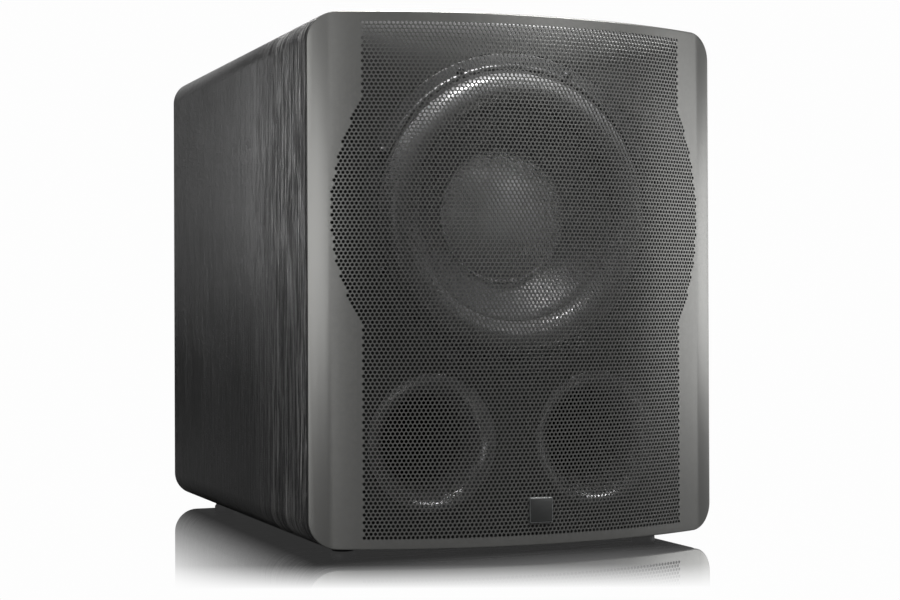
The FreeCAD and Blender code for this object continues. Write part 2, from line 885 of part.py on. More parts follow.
mode_switch_place = (knob_spacing, z_amp + 76)
status_place = (0.0, z_amp + 80)
trigger_place = (-knob_spacing, z_amp + 30)
inlet_place = (52.0, z_amp - 118)
rocker_place = (-30.0, z_amp - 118)
inlet_hole = (28.0, 20.5)
rocker_hole = (rocker_width + 5.0, rocker_height + 5.0)
mode_switch_hole = (13.0, 5.0)
jack_hole_radius = 6.0
trigger_hole_radius = 3.2
status_hole_radius = 2.0


def plate_cutters(y0, y1):
    cutters = []
    for x, z in knob_places().values():
        cutters.append(rod_y(bushing_radius + hole_clearance, y0, y1, x, z))
    for x, z in jack_places():
        cutters.append(rod_y(jack_hole_radius + hole_clearance, y0, y1, x, z))
    cutters.append(rod_y(trigger_hole_radius + hole_clearance, y0, y1, *trigger_place))
    cutters.append(rod_y(status_hole_radius + hole_clearance, y0, y1, *status_place))
    for size, place in (
        (inlet_hole, inlet_place),
        (rocker_hole, rocker_place),
        (mode_switch_hole, mode_switch_place),
    ):
        cutters.append(
            plate_xz(size[0] + 0.4, size[1] + 0.4, 0, y0, y1, place[0], place[1])
        )
    return cutters


def amp_plate():
    plate = plate_xz(
        amp_width, amp_height, amp_plate_corner, y_face - amp_plate_thickness, y_face, 0, z_amp
    )
    tools = plate_cutters(y_face - amp_plate_thickness - 1, y_face + 1)
    for x, z in amp_screw_places():
        tools.append(rod_y(amp_screw_radius + 0.3, y_face - amp_plate_thickness - 1, y_face + 1, x, z))
    return cut(plate, tools)


def amp_gasket():
    y1 = y_face - amp_plate_thickness
    y0 = y1 - amp_gasket_thickness
    opening_width, opening_height = amp_opening_size()
    ring = plate_xz(amp_width, amp_height, amp_plate_corner, y0, y1, 0, z_amp)
    tools = [plate_xz(opening_width, opening_height, 0, y0 - 1, y1 + 1, 0, z_amp)]
    for x, z in amp_screw_places():
        tools.append(rod_y(amp_screw_radius + 0.3, y0 - 1, y1 + 1, x, z))
    return cut(ring, tools)


def amp_screw_set():
    return [
        screw(x, y_face, z, Y_AXIS, 3.8, 2.4, amp_screw_radius, amp_screw_length)
        for x, z in amp_screw_places()
    ]


def chassis_box():
    opening_width, opening_height = amp_opening_size()
    return opening_width - 2 * chassis_clearance, opening_height - 2 * chassis_clearance


def amp_chassis():
    """Folded steel tray behind the plate, closed on five sides."""
    width, height = chassis_box()
    y1 = y_face - amp_plate_thickness
    y0 = y1 - chassis_depth
    shell = plate_xz(width, height, 0, y0, y1, 0, z_amp)
    hollow = plate_xz(
        width - 2 * chassis_wall, height - 2 * chassis_wall, 0, y0 + chassis_wall, y1 + 1, 0, z_amp
    )
    lead_hole = rod_y(7, y0 - 1, y0 + chassis_wall + 1, 0, z_amp + height / 2 - 30)
    return cut(shell, [hollow, lead_hole])


def board_place():
    """Depth of the circuit board's face that carries the parts."""
    return y_face - amp_plate_thickness - chassis_depth + chassis_wall + 8


def amp_board():
    width, height = chassis_box()
    y = board_place()
    board = plate_xz(width - 24, height - 60, 0, y - 1.6, y, 0, z_amp + 10)
    posts = []
    for x in (-1, 1):
        for z in (-1, 1):
            posts.append(
                rod_y(3, y - 8, y - 1.6, x * (width / 2 - 22), z_amp + 10 + z * (height / 2 - 40))
            )
    return fuse([board] + posts)


def amp_heatsink():
    """Finned block bolted inside the plate."""
    y1 = y_face - amp_plate_thickness
    base = box(-90, 90, y1 - 5, y1, z_amp - 46, z_amp + 10)
    fins = [
        box(-88 + i * 11, -85.5 + i * 11, y1 - 30, y1 - 4, z_amp - 44, z_amp + 8)
        for i in range(17)
    ]
    return fuse([base] + fins)


def power_transformer():
    outline = [(12, 0), (30, 0), ((36, 4.5), (38, 12)), (38, 18), ((36, 25.5), (30, 30)), (12, 30)]
    return lathe(outline, V(-48, board_place(), z_amp - 92), Y_AXIS)


def reservoir_capacitors():
    y = board_place()
    return [rod_y(13, y, y + 32, x, z_amp - 84) for x in (18, 48, 78)]


def knob(place):
    """Fluted knob with a pointer groove, moulded on the shaft that turns in its bushing."""
    x, z = place
    skirt, top = knob_off_plate, knob_height
    r = knob_radius
    cavity = bushing_radius + bushing_nut + 0.4
    tip = -amp_plate_thickness - 4
    outline = [(0, top), (r - 2.2, top), ((r - 0.9, top - 0.5), (r - 0.4, top - 1.8))]
    outline += [(r, skirt + 1), (r, skirt), (cavity, skirt), (cavity, skirt + 2.4)]
    outline += [(shaft_radius, skirt + 2.4), (shaft_radius, tip), (0, tip)]
    body = lathe(outline, V(x, y_face, z), Y_AXIS)
    flute = rod_y(1.1, y_face + skirt + 2.2, y_face + top + 1, x, z + r + 0.35)
    flutes = around(flute, 20, V(x, y_face, z), Y_AXIS)
    pointer = box(x - 0.6, x + 0.6, y_face + top - 0.6, y_face + top + 1, z + 2.5, z + r + 1)
    return cut(body, flutes + [pointer])


def potentiometers():
    """Pot bodies with their bushings and nuts, each bored for its turning shaft."""
    pots = []
    bore = shaft_radius + shaft_clearance
    inner = y_face - amp_plate_thickness
    for x, z in knob_places().values():
        body = fuse([
            box(x - pot_body / 2, x + pot_body / 2, inner - 10, inner, z - pot_body / 2, z + pot_body / 2),
            rod_y(bushing_radius, inner - 1, y_face + 2.4, x, z),
            rod_y(bushing_radius + bushing_nut, y_face, y_face + 1.6, x, z),
        ])
        pots.append(body.cut(rod_y(bore, inner - 5, y_face + 5, x, z)))
    return pots


def mode_switch_housing():
    x, z = mode_switch_place
    inner = y_face - amp_plate_thickness
    slot_half = slider_width / 2 + slider_travel / 2 + slider_clearance
    body = box(x - 11, x + 11, inner - 9, inner, z - 5, z + 5)
    collar = box(x - 6.5, x + 6.5, inner - 1, y_face + 0.2, z - 2.5, z + 2.5)
    across = slider_height / 2 + slider_clearance
    slot = box(x - slot_half, x + slot_half, inner - 6, y_face + 1, z - across, z + across)
    return fuse([body, collar]).cut(slot)


def mode_slider():
    """Switch lever, at rest at the left end of its slot."""
    x, z = mode_switch_place[0] - slider_travel / 2, mode_switch_place[1]
    inner = y_face - amp_plate_thickness
    return box(
        x - slider_width / 2, x + slider_width / 2, inner - 5.5, y_face + 3.4,
        z - slider_height / 2, z + slider_height / 2,
    )


def rocker_pivot():
    return y_face + 0.5


def power_switch_housing():
    x, z = rocker_place
    inner = y_face - amp_plate_thickness
    half_w, half_h = rocker_hole[0] / 2, rocker_hole[1] / 2
    body = box(x - half_w, x + half_w, inner - 16, y_face, z - half_h, z + half_h)
    rim = plate_xz(rocker_hole[0] + 3, rocker_hole[1] + 3, 1.5, y_face, y_face + 1.6, x, z)
    well = box(
        x - rocker_width / 2 - rocker_clearance, x + rocker_width / 2 + rocker_clearance,
        inner - 9, y_face + 5,
        z - rocker_height / 2 - rocker_clearance, z + rocker_height / 2 + rocker_clearance,
    )
    pin_bore = rod_x(
        rocker_pin_radius + 0.05, x - half_w + 0.8, x + half_w - 0.8, rocker_pivot(), z
    )
    return cut(fuse([body, rim]), [well, pin_bore])


def power_rocker():
    """Paddle on two pins, at rest with its lower end pressed in."""
    x, z = rocker_place
    y = rocker_pivot()
    half = rocker_height / 2
    side = [
        (z - half, y - 3.0), (z - half, y + 3.4), (z, y + 1.8), (z + half, y + 3.4),
        (z + half, y - 3.0), (z + 4, y - 6.0), (z - 4, y - 6.0),
    ]
    points = [V(x - rocker_width / 2, py, pz) for pz, py in side]
    paddle = Part.Face(Part.makePolygon(points + points[:1])).extrude(X_AXIS * rocker_width)
    reach = rocker_width / 2 + rocker_clearance + 0.6
    pins = rod_x(rocker_pin_radius, x - reach, x + reach, y, z)
    mark = box(x - 0.6, x + 0.6, y + 1.8, y + 6, z + 5.5, z + 9.5)
    body = fuse([paddle, pins]).cut(mark)
    body.rotate(V(x, y, z), X_AXIS, -rocker_tilt / 2)
    return body


def mains_inlet():
    """Three-pole appliance inlet: a shroud with a deep socket and a screw flange."""
    x, z = inlet_place
    width, height = inlet_hole
    inner = y_face - amp_plate_thickness
    body = plate_xz(width, height, 0.8, inner - 17, y_face + 0.2, x, z)
    flange = plate_xz(width + 5, height + 5, 3, y_face, y_face + 2.2, x, z)
    socket = plate_xz(width - 3.2, height - 3.6, 2.5, inner - 13, y_face + 5, x, z)
    slots = [box(px - 2.02, px + 2.02, inner - 18, inner - 12, pz - 1.02, pz + 1.02)
             for px, pz in inlet_blades()]
    return cut(fuse([body, flange]), [socket] + slots)


def inlet_blades():
    x, z = inlet_place
    return [(x - 7, z - 2), (x + 7, z - 2), (x, z + 2.4)]


def mains_inlet_pins():
    inner = y_face - amp_plate_thickness
    return [
        box(px - 2.0, px + 2.0, inner - 23, inner - 1.5, pz - 1.0, pz + 1.0)
        for px, pz in inlet_blades()
    ]


def jack_shells():
    """Line-level sockets: a metal barrel on a nut, bored for the plug's pin."""
    shells = []
    inner = y_face - amp_plate_thickness
    for x, z in jack_places():
        barrel = ring_y(3.0, 4.15, y_face + 1.6, y_face + 10.6, x, z)
        nut = hex_rod(7.2, 1.6, V(x, y_face, z), Y_AXIS).cut(rod_y(3.0, y_face - 1, y_face + 3, x, z))
        stem = ring_y(3.0, jack_hole_radius, inner - 3, y_face, x, z)
        shells.append(fuse([barrel, nut, stem]))
    return shells


def jack_inserts():
    inserts = []
    inner = y_face - amp_plate_thickness
    for x, z in jack_places():
        inserts.append(ring_y(1.65, 3.0, inner - 3, y_face + 9.8, x, z))
    return inserts


def trigger_jack():
    x, z = trigger_place
    inner = y_face - amp_plate_thickness
    body = fuse([
        box(x - 5, x + 5, inner - 12, inner, z - 6, z + 6),
        rod_y(trigger_hole_radius, inner - 1, y_face + 2.4, x, z),
        rod_y(trigger_hole_radius + 1.4, y_face, y_face + 1.6, x, z),
    ])
    return body.cut(rod_y(1.8, inner - 10, y_face + 5, x, z))


def status_lens():
    x, z = status_place
    r = status_hole_radius
    root = -amp_plate_thickness - 2
    outline = [(0, root), (r, root), (r, 0.4), ((r - 0.3, 1.1), (r - 1.0, 1.4)), (0, 1.4)]
    return lathe(outline, V(x, y_face, z), Y_AXIS)


def speaker_leads():
    """Two insulated wires from the amplifier to the woofer's posts, through the braces' windows."""
    height = chassis_box()[1]
    z_hole = z_amp + height / 2 - 30
    y_hole = y_face - amp_plate_thickness - chassis_depth + chassis_wall + 1
    z_run = (z_hole + z_woofer + terminal_radius) / 2 + 20
    leads = []
    for side in (-1, 1):
        x, y, z = terminal_place(side)
        x_run = side * 5.0 + 78
        near, far = brace_places[0] - 30, brace_places[1] + brace_thickness + 30
        route = [(side * 3.0, y_hole, z_hole), (side * 3.0, y_hole - 30, z_hole)]
        route += [(x_run * 0.5, y_hole - 60, z_hole + 14), (x_run, far, z_run)]
        route += [(x_run, (near + far) / 2, z_run + 4), (x_run, near, z_run)]
        route += [(x + 12, y + 60, z + 4), (x, y + 34, z), (x, y + 12.3, z)]
        leads.append(tube_through(route, speaker_lead_radius))
    return leads


def main():
    os.makedirs("parts", exist_ok=True)
    nodes = dict(cabinet_panels())
    nodes["front_baffle"] = front_baffle()
    nodes["back_panel"] = back_panel()
    nodes["window_braces"] = [window_brace(y) for y in brace_places]
    nodes["rubber_feet"] = rubber_feet()
    nodes["foot_screws"] = foot_screws()

    nodes["grille_sheet"] = grille_sheet()
    nodes["grille_frame"] = grille_frame()
    nodes["grille_studs"] = grille_studs()
    nodes["grille_cups"] = grille_cups()
    nodes["grille_badge"] = badge()

    nodes.update(cast_frame())
    nodes["woofer_gasket"] = woofer_gasket()
    nodes["woofer_surround"] = surround()
    nodes["woofer_cone"] = cone()
    nodes["dust_cap"] = dust_cap()
    nodes["coil_former"] = coil_former()
    nodes["voice_coil"] = voice_coil()
    nodes["woofer_spider"] = spider()
    nodes["magnet_top_plate"] = top_plate()
    nodes["ferrite_magnets"] = ferrite_rings()
    nodes["magnet_yoke"] = yoke()
    nodes["woofer_terminals"] = woofer_terminals()
    nodes["tinsel_leads"] = tinsel_leads()
    nodes["woofer_screws"] = woofer_screw_set()

    for name, side in (("left", -1), ("right", 1)):
        nodes[f"port_flare_{name}"] = front_flare(side)
        nodes[f"port_tube_{name}"] = port_tube(side)
        nodes[f"port_elbow_{name}"] = port_elbow(side)
        nodes[f"port_end_flare_{name}"] = end_flare(side)

    nodes["amp_plate"] = amp_plate()
    nodes["amp_gasket"] = amp_gasket()
    nodes["amp_screws"] = amp_screw_set()
    nodes["amp_chassis"] = amp_chassis()
    nodes["amp_board"] = amp_board()
    nodes["amp_heatsink"] = amp_heatsink()
    nodes["power_transformer"] = power_transformer()
    nodes["reservoir_capacitors"] = reservoir_capacitors()
    for name, place in knob_places().items():
        nodes[f"{name}_knob"] = knob(place)
    nodes["potentiometers"] = potentiometers()
    nodes["mode_switch_housing"] = mode_switch_housing()
    nodes["mode_slider"] = mode_slider()
    nodes["power_switch_housing"] = power_switch_housing()
    nodes["power_rocker"] = power_rocker()
    nodes["mains_inlet"] = mains_inlet()
    nodes["mains_inlet_pins"] = mains_inlet_pins()
    nodes["line_jack_shells"] = jack_shells()
    nodes["line_jack_inserts"] = jack_inserts()
    nodes["trigger_jack"] = trigger_jack()
    nodes["status_lens"] = status_lens()
    nodes["speaker_leads"] = speaker_leads()

    for name, shape in nodes.items():
        save(name, shape)


main()
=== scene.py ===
"""A front-ported subwoofer in black open-pore veneer, with a curved perforated grille, a long-throw woofer,
two flared ports and a rear amplifier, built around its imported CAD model. Metres, front towards -Y, Z up."""

import math

import bmesh
import bpy
from mathutils import Matrix, Vector
from mathutils.geometry import delaunay_2d_cdt


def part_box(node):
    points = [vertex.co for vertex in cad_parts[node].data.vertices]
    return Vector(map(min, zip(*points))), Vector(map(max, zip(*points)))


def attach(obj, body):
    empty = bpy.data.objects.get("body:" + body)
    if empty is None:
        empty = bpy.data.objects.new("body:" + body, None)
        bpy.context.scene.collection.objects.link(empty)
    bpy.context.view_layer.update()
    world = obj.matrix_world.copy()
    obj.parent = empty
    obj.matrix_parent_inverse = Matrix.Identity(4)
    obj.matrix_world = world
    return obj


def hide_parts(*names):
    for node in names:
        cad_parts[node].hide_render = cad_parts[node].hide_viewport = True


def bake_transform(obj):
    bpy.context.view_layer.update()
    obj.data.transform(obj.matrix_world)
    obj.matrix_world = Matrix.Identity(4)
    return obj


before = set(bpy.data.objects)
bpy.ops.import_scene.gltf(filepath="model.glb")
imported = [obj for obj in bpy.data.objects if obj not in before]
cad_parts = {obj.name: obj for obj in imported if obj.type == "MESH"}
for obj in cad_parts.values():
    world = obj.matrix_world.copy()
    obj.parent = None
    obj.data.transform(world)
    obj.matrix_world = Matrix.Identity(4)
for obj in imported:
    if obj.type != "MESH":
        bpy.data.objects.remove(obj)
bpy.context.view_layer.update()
MM = 0.001

# ---- sizes read from the CAD -----------------------------------------------------------
SHEET_LOW, SHEET_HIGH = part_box("grille_sheet")
HALF_WIDTH = SHEET_HIGH.x
FLOOR_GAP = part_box("bottom_panel")[0].z
CABINET_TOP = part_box("top_panel")[1].z
MID_HEIGHT = (FLOOR_GAP + CABINET_TOP) / 2
HALF_HEIGHT = (CABINET_TOP - FLOOR_GAP) / 2
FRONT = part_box("front_baffle")[0].y
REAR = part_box("back_panel")[1].y
CREST = SHEET_LOW.y
PANEL_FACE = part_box("amp_plate")[1].y


def middle_of(node):
    low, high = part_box(node)
    return (low.x + high.x) / 2, (low.z + high.z) / 2


WOOFER_CENTRE = Vector((0.0, FRONT, middle_of("woofer_basket")[1]))

# ---- sizes of this object's finer details ----------------------------------------------
CORNER = 29 * MM
WALL = 19 * MM
BULGE = 58 * MM
SHEET = 1.6 * MM
ARC_RADIUS = (HALF_WIDTH**2 + BULGE**2) / (2 * BULGE)
ARC_CENTRE_Y = CREST + ARC_RADIUS
SHEET_EDGE = CREST + BULGE
HOLE_PITCH = 4.5 * MM
ROW_PITCH = HOLE_PITCH * math.sqrt(3) / 2
HOLE_WIDTH = 3.25 * MM
HOLES_HALF_WIDTH = 185.6 * MM
HOLES_LOW = FLOOR_GAP + 12.0 * MM
HOLE_ROWS = 135
WAIST_RADIUS = 217.5 * MM
WAIST_HEIGHT = FLOOR_GAP + 342 * MM
SHARP = 35.0


# ---- small mesh helpers ----------------------------------------------------------------
def put(name, mesh):
    obj = bpy.data.objects.new(name, mesh)
    bpy.context.scene.collection.objects.link(obj)
    return obj


def shade(mesh, sharp=SHARP):
    """Smooth shading, with an edge wherever faces meet at more than the sharp angle."""
    mesh.shade_smooth()
    mesh.set_sharp_from_angle(angle=math.radians(sharp))


def finished(name, mesh, sharp):
    """Joins doubled corners, turns every face outward, and shades the mesh."""
    work = bmesh.new()
    work.from_mesh(mesh)
    bmesh.ops.remove_doubles(work, verts=work.verts, dist=1e-6)
    bmesh.ops.recalc_face_normals(work, faces=work.faces)
    work.to_mesh(mesh)
    work.free()
    shade(mesh, sharp)
    return put(name, mesh)


def mesh_piece(name, corners, faces, sharp=SHARP):
    mesh = bpy.data.meshes.new(name)
    mesh.from_pydata([tuple(c) for c in corners], [], faces)
    return finished(name, mesh, sharp)


def band(lower, upper, count):
    """Faces between two rings of count corners, given by the rings' first corners."""
    steps = [(k, (k + 1) % count) for k in range(count)]
    return [(lower + k, lower + n, upper + n, upper + k) for k, n in steps]


def dress(obj, material):
    obj.data.materials.clear()
    obj.data.materials.append(material)


def fit(obj, body, material, slot, *nodes):
    """Finishes a piece: its material, the body it rides on and the CAD it stands for. The slot argument is not
    used.
    """
    if material is not None:
        dress(obj, material)
    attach(obj, body)
    if nodes:
        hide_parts(*nodes)


def soft_corner(before, corner, after, radius, steps):
    """Points that round one corner of a flat outline."""
    a, b = (before - corner), (after - corner)
    reach = min(radius, a.length * 0.48, b.length * 0.48)
    if reach < 1e-7:
        return [corner]
    start, end = corner + a.normalized() * reach, corner + b.normalized() * reach
    points = []
    for i in range(steps + 1):
        t = i / steps
        points.append(start.lerp(corner, t).lerp(corner.lerp(end, t), t))
    return points


def soft_outline(points, steps):
    """A closed flat outline, each corner rounded by the radius that is its third number."""
    flat = [Vector(p[:2]) for p in points]
    result = []
    for i, p in enumerate(points):
        result += soft_corner(flat[i - 1], flat[i], flat[(i + 1) % len(flat)], p[2], steps)
    return result


def turned(name, outline, centre, axis="Y", segments=160, sharp=SHARP):
    """A closed outline of (radius, distance along the axis) turned round the axis through centre."""
    corners, faces, rings = [], [], []
    for r, d in outline:
        if r < 1e-7:
            rings.append([len(corners)])
            corners.append(on_axis(centre, axis, 0.0, 0.0, d))
            continue
        ring = []
        for k in range(segments):
            ring.append(len(corners))
            corners.append(on_axis(centre, axis, r, 2 * math.pi * k / segments, d))
        rings.append(ring)
    for i, ring in enumerate(rings):
        other = rings[(i + 1) % len(rings)]
        if len(ring) == 1 and len(other) == 1:
            continue
        for k in range(segments):
            n = (k + 1) % segments
            if len(ring) == 1:
                faces.append((ring[0], other[k], other[n]))
            elif len(other) == 1:
                faces.append((ring[n], ring[k], other[0]))
            else:
                faces.append((ring[n], ring[k], other[k], other[n]))
    return mesh_piece(name, corners, faces, sharp)


def on_axis(centre, axis, radius, angle, distance):
    c, s = radius * math.cos(angle), radius * math.sin(angle)
    if axis == "Y":
        return Vector((centre.x + c, centre.y + distance, centre.z + s))
    return Vector((centre.x + c, centre.y + s, centre.z + distance))


def round_rect(half_width, half_height, radius, steps=10):
    """Corner points of a rounded rectangle round the origin, anticlockwise."""
    points = []
    for quarter, (sx, sz) in enumerate(((1, -1), (1, 1), (-1, 1), (-1, -1))):
        cx, cz = sx * (half_width - radius), sz * (half_height - radius)
        for i in range(steps + 1):
            angle = math.radians(-90 + 90 * quarter + 90 * i / steps)
            points.append((cx + radius * math.cos(angle), cz + radius * math.sin(angle)))
    return points


def lofted_ring(name, loops, capped=False):
    """A skin over loops of equal length. It joins the last loop to the first, or fills both ends if capped."""
    corners, faces = [], []
    count = len(loops[0])
    for loop in loops:
        corners += loop
    spans = len(loops) - 1 if capped else len(loops)
    for i in range(spans):
        faces += band(i * count, ((i + 1) % len(loops)) * count, count)
    if capped:
        faces.append(tuple(range(count)))
        faces.append(tuple(range((len(loops) - 1) * count, len(loops) * count)))
    return mesh_piece(name, corners, faces)


def plate(name, half_width, half_height, radius, y_front, y_back, x, z, edge, steps=8):
    """A plate facing along Y with rounded corners and softened front and back edges."""
    loops = []
    for inset, y in (
        (edge, y_front), (edge * 0.29, y_front + edge * 0.29), (0, y_front + edge),
        (0, y_back - edge), (edge * 0.29, y_back - edge * 0.29), (edge, y_back),
    ):
        loop = round_rect(half_width - inset, half_height - inset, max(radius - inset, 1e-4), steps)
        loops.append([Vector((x + px, y, z + pz)) for px, pz in loop])
    return lofted_ring(name, loops, capped=True)


# ---- shader node helpers ---------------------------------------------------------------
class Nodes:
    """A node tree with short ways to add nodes and join sockets."""

    def __init__(self, tree):
        self.tree = tree

    def add(self, kind, inputs=None, **settings):
        node = self.tree.nodes.new(kind)
        for key, value in settings.items():
            setattr(node, key, value)
        for key, value in (inputs or {}).items():
            if isinstance(value, bpy.types.NodeSocket):
                self.tree.links.new(value, node.inputs[key])
            else:
                node.inputs[key].default_value = value
        return node

    def link(self, value, socket):
        self.tree.links.new(value, socket)

    def out(self, kind, inputs=None, **settings):
        """The first output of a new node."""
        return self.add(kind, inputs, **settings).outputs[0]

    def math(self, operation, a, b=0.0, clamp=False):
        return self.out("ShaderNodeMath", {0: a, 1: b}, operation=operation, use_clamp=clamp)

    def plus(self, a, b, clamp=False):
        return self.math("ADD", a, b, clamp)

    def minus(self, a, b, clamp=False):
        return self.math("SUBTRACT", a, b, clamp)

    def times(self, a, b, clamp=False):
        return self.math("MULTIPLY", a, b, clamp)

    def over(self, a, b, clamp=False):
        return self.math("DIVIDE", a, b, clamp)

    def noise(self, vector, scale, detail=3.0, roughness=0.5, distortion=0.0):
        sockets = {"Vector": vector, "Scale": scale, "Detail": detail, "Roughness": roughness}
        return self.add("ShaderNodeTexNoise", {**sockets, "Distortion": distortion}).outputs["Fac"]

    def remap(self, value, low, high, out_low=0.0, out_high=1.0):
        sockets = {"Value": value, "From Min": low, "From Max": high, "To Min": out_low, "To Max": out_high}
        return self.add("ShaderNodeMapRange", sockets).outputs["Result"]

    def mix_colour(self, factor, a, b):
        node = self.add("ShaderNodeMix", data_type="RGBA")
        for socket, value in ((0, factor), (6, a), (7, b)):
            if isinstance(value, bpy.types.NodeSocket):
                self.tree.links.new(value, node.inputs[socket])
            else:
                node.inputs[socket].default_value = value
        return node.outputs[2]


def rgb(r, g, b):
    return (r, g, b, 1.0)


def shader_group(name, inputs, outputs):
    """An empty shader node group with named sockets."""
    tree = bpy.data.node_groups.new(name, "ShaderNodeTree")
    kinds = {"value": "NodeSocketFloat", "colour": "NodeSocketColor", "vector": "NodeSocketVector"}
    for key, (kind, default) in inputs.items():
        socket = tree.interface.new_socket(key, in_out="INPUT", socket_type=kinds[kind])
        if default is not None:
            socket.default_value = default
    for key, kind in outputs.items():
        tree.interface.new_socket(key, in_out="OUTPUT", socket_type=kinds[kind])
    nodes = Nodes(tree)
    return nodes, nodes.add("NodeGroupInput"), nodes.add("NodeGroupOutput")


FIBRE_STRETCH, PORE_STRETCH, BAND_STRETCH = (11, 270, 11), (13, 330, 13), (2.0, 42, 2.0)
# The middle colour is the silvery streak colour, partly the grain's own and partly painted sheen.
STAIN, SILVER_SHEEN, PORE_BLACK = (0.0090, 0.0090, 0.0092), (0.300, 0.297, 0.292), (0.0035, 0.0035, 0.0036)


def make_open_pore_grain():
    """Black-stained ash: long fibres up the panel, deep open pores and cathedral-figured bands, with silvery
    streaks that are partly grain and partly painted sheen.
    """
    g, given, out = shader_group(
        "open_pore_grain",
        {"Position": ("vector", None), "Fibre Scale": ("value", 1.0), "Figure": ("value", 1.0)},
        {"Colour": "colour", "Roughness": "value", "Height": "value"},
    )
    place = given.outputs["Position"]
    sway = g.noise(g.out("ShaderNodeMapping", {"Vector": place, "Scale": (3, 3, 3)}), 1.0, 2.0)
    sway_offset = g.times(g.minus(sway, 0.5), 0.030)
    shift = g.out("ShaderNodeCombineXYZ", {"Y": sway_offset})
    bent = g.out("ShaderNodeVectorMath", {0: place, 1: shift}, operation="ADD")
    fibre_place = g.out("ShaderNodeMapping", {"Vector": bent, "Scale": FIBRE_STRETCH})
    pore_place = g.out("ShaderNodeMapping", {"Vector": bent, "Scale": PORE_STRETCH})
    band_place = g.out("ShaderNodeMapping", {"Vector": bent, "Scale": BAND_STRETCH})
    fibres = g.noise(fibre_place, 1.0, 5.0, 0.66, 0.35)
    pores = g.noise(pore_place, 1.0, 4.0, 0.64, 0.25)
    bands = g.noise(band_place, 1.0, 3.0, 0.55)
    dense = g.remap(bands, 0.38, 0.66)
    streak = g.remap(fibres, 0.48, 0.58)
    pore = g.remap(pores, 0.49, 0.55)
    open_pore = g.times(pore, g.plus(g.times(dense, 0.55), 0.45), clamp=True)
    # The next lines scale the pores and silvery streaks by the input from the veneer: painted sheen, strongest
    # along the front edge.
    open_pore = g.times(open_pore, given.outputs["Figure"], clamp=True)
    silver_and_sheen = g.times(streak, g.plus(g.times(dense, 0.7), 0.3), clamp=True)
    silver_and_sheen = g.times(silver_and_sheen, given.outputs["Figure"], clamp=True)
    body = g.mix_colour(silver_and_sheen, rgb(*STAIN), rgb(*SILVER_SHEEN))
    colour = g.mix_colour(open_pore, body, rgb(*PORE_BLACK))
    rough = g.minus(0.34, g.times(silver_and_sheen, 0.08))
    rough = g.plus(rough, g.times(open_pore, 0.55), clamp=True)
    height = g.minus(g.times(streak, 0.45), g.times(open_pore, 1.0))
    for key, value in (("Colour", colour), ("Roughness", rough), ("Height", height)):
        g.link(value, out.inputs[key])
    return g.tree


def make_fine_grain():
    """Fine irregular surface: orange peel in paint, spark texture in moulded plastic, cast skin."""
    g, given, out = shader_group(
        "fine_grain",
        {"Position": ("vector", None), "Scale": ("value", 900.0), "Mottle": ("value", 0.08)},
        {"Mask": "value", "Height": "value"},
    )
    place = given.outputs["Position"]
    small = g.noise(place, given.outputs["Scale"], 3.0, 0.6)
    wide = g.noise(place, g.times(given.outputs["Scale"], 0.02), 4.0, 0.55)
    drift = g.times(g.minus(wide, 0.5), given.outputs["Mottle"])
    mask = g.plus(g.plus(0.5, drift), g.times(g.minus(small, 0.5), 0.5))
    g.link(mask, out.inputs["Mask"])
    g.link(small, out.inputs["Height"])
    return g.tree


def make_settled_dust():
    """A thin film of dust on what faces up, broken by wiping."""
    g, given, out = shader_group(
        "settled_dust",
        {"Position": ("vector", None), "Amount": ("value", 0.2)},
        {"Mask": "value"},
    )
    normal = g.add("ShaderNodeNewGeometry").outputs["Normal"]
    up = g.add("ShaderNodeSeparateXYZ", {"Vector": normal}).outputs["Z"]
    wiped = g.remap(g.noise(given.outputs["Position"], 9.0, 5.0, 0.65), 0.35, 0.75)
    specks = g.remap(g.noise(given.outputs["Position"], 1500.0, 2.0, 0.7), 0.55, 0.75)
    film = g.times(g.remap(up, 0.25, 1.0), g.plus(wiped, g.times(specks, 0.6)))
    g.link(g.times(film, given.outputs["Amount"], clamp=True), out.inputs["Mask"])
    return g.tree


def make_rubbed_edges():
    """Where corners and ridges are rubbed paler."""
    g, given, out = shader_group(
        "rubbed_edges",
        {"Position": ("vector", None), "Amount": ("value", 0.3)},
        {"Mask": "value"},
    )
    ridge = g.remap(g.add("ShaderNodeNewGeometry").outputs["Pointiness"], 0.515, 0.60)
    broken = g.remap(g.noise(given.outputs["Position"], 160.0, 5.0, 0.7), 0.40, 0.62)
    mask = g.times(g.times(ridge, broken), given.outputs["Amount"], clamp=True)
    g.link(mask, out.inputs["Mask"])
    return g.tree


GRAIN = make_open_pore_grain()
FINE = make_fine_grain()
DUST = make_settled_dust()
RUBBED = make_rubbed_edges()


def surface(name):
    """A new material with its Principled shader and Object coordinates."""
    material = bpy.data.materials.new(name)
    material.use_nodes = True
    nodes = Nodes(material.node_tree)
    shader = material.node_tree.nodes["Principled BSDF"]
    place = nodes.add("ShaderNodeTexCoord").outputs["Object"]
    return material, nodes, shader, place


def grouped(nodes, tree, **values):
    node = nodes.add("ShaderNodeGroup", node_tree=tree)
    for key, value in values.items():
        socket = node.inputs[key.replace("_", " ")]
        if isinstance(value, bpy.types.NodeSocket):
            nodes.link(value, socket)
        else:
            socket.default_value = value
    return node.outputs


def bumped(nodes, shader, height, strength, distance):
    bump = nodes.add("ShaderNodeBump", {"Height": height, "Strength": strength, "Distance": distance})
    nodes.link(bump.outputs[0], shader.inputs["Normal"])


# Painted sheen: the grain shows fully from the front edge to the first depth and fades to faint by the second.
SHEEN_FIGURE_START, SHEEN_FIGURE_END = FRONT + 60 * MM, FRONT + 200 * MM


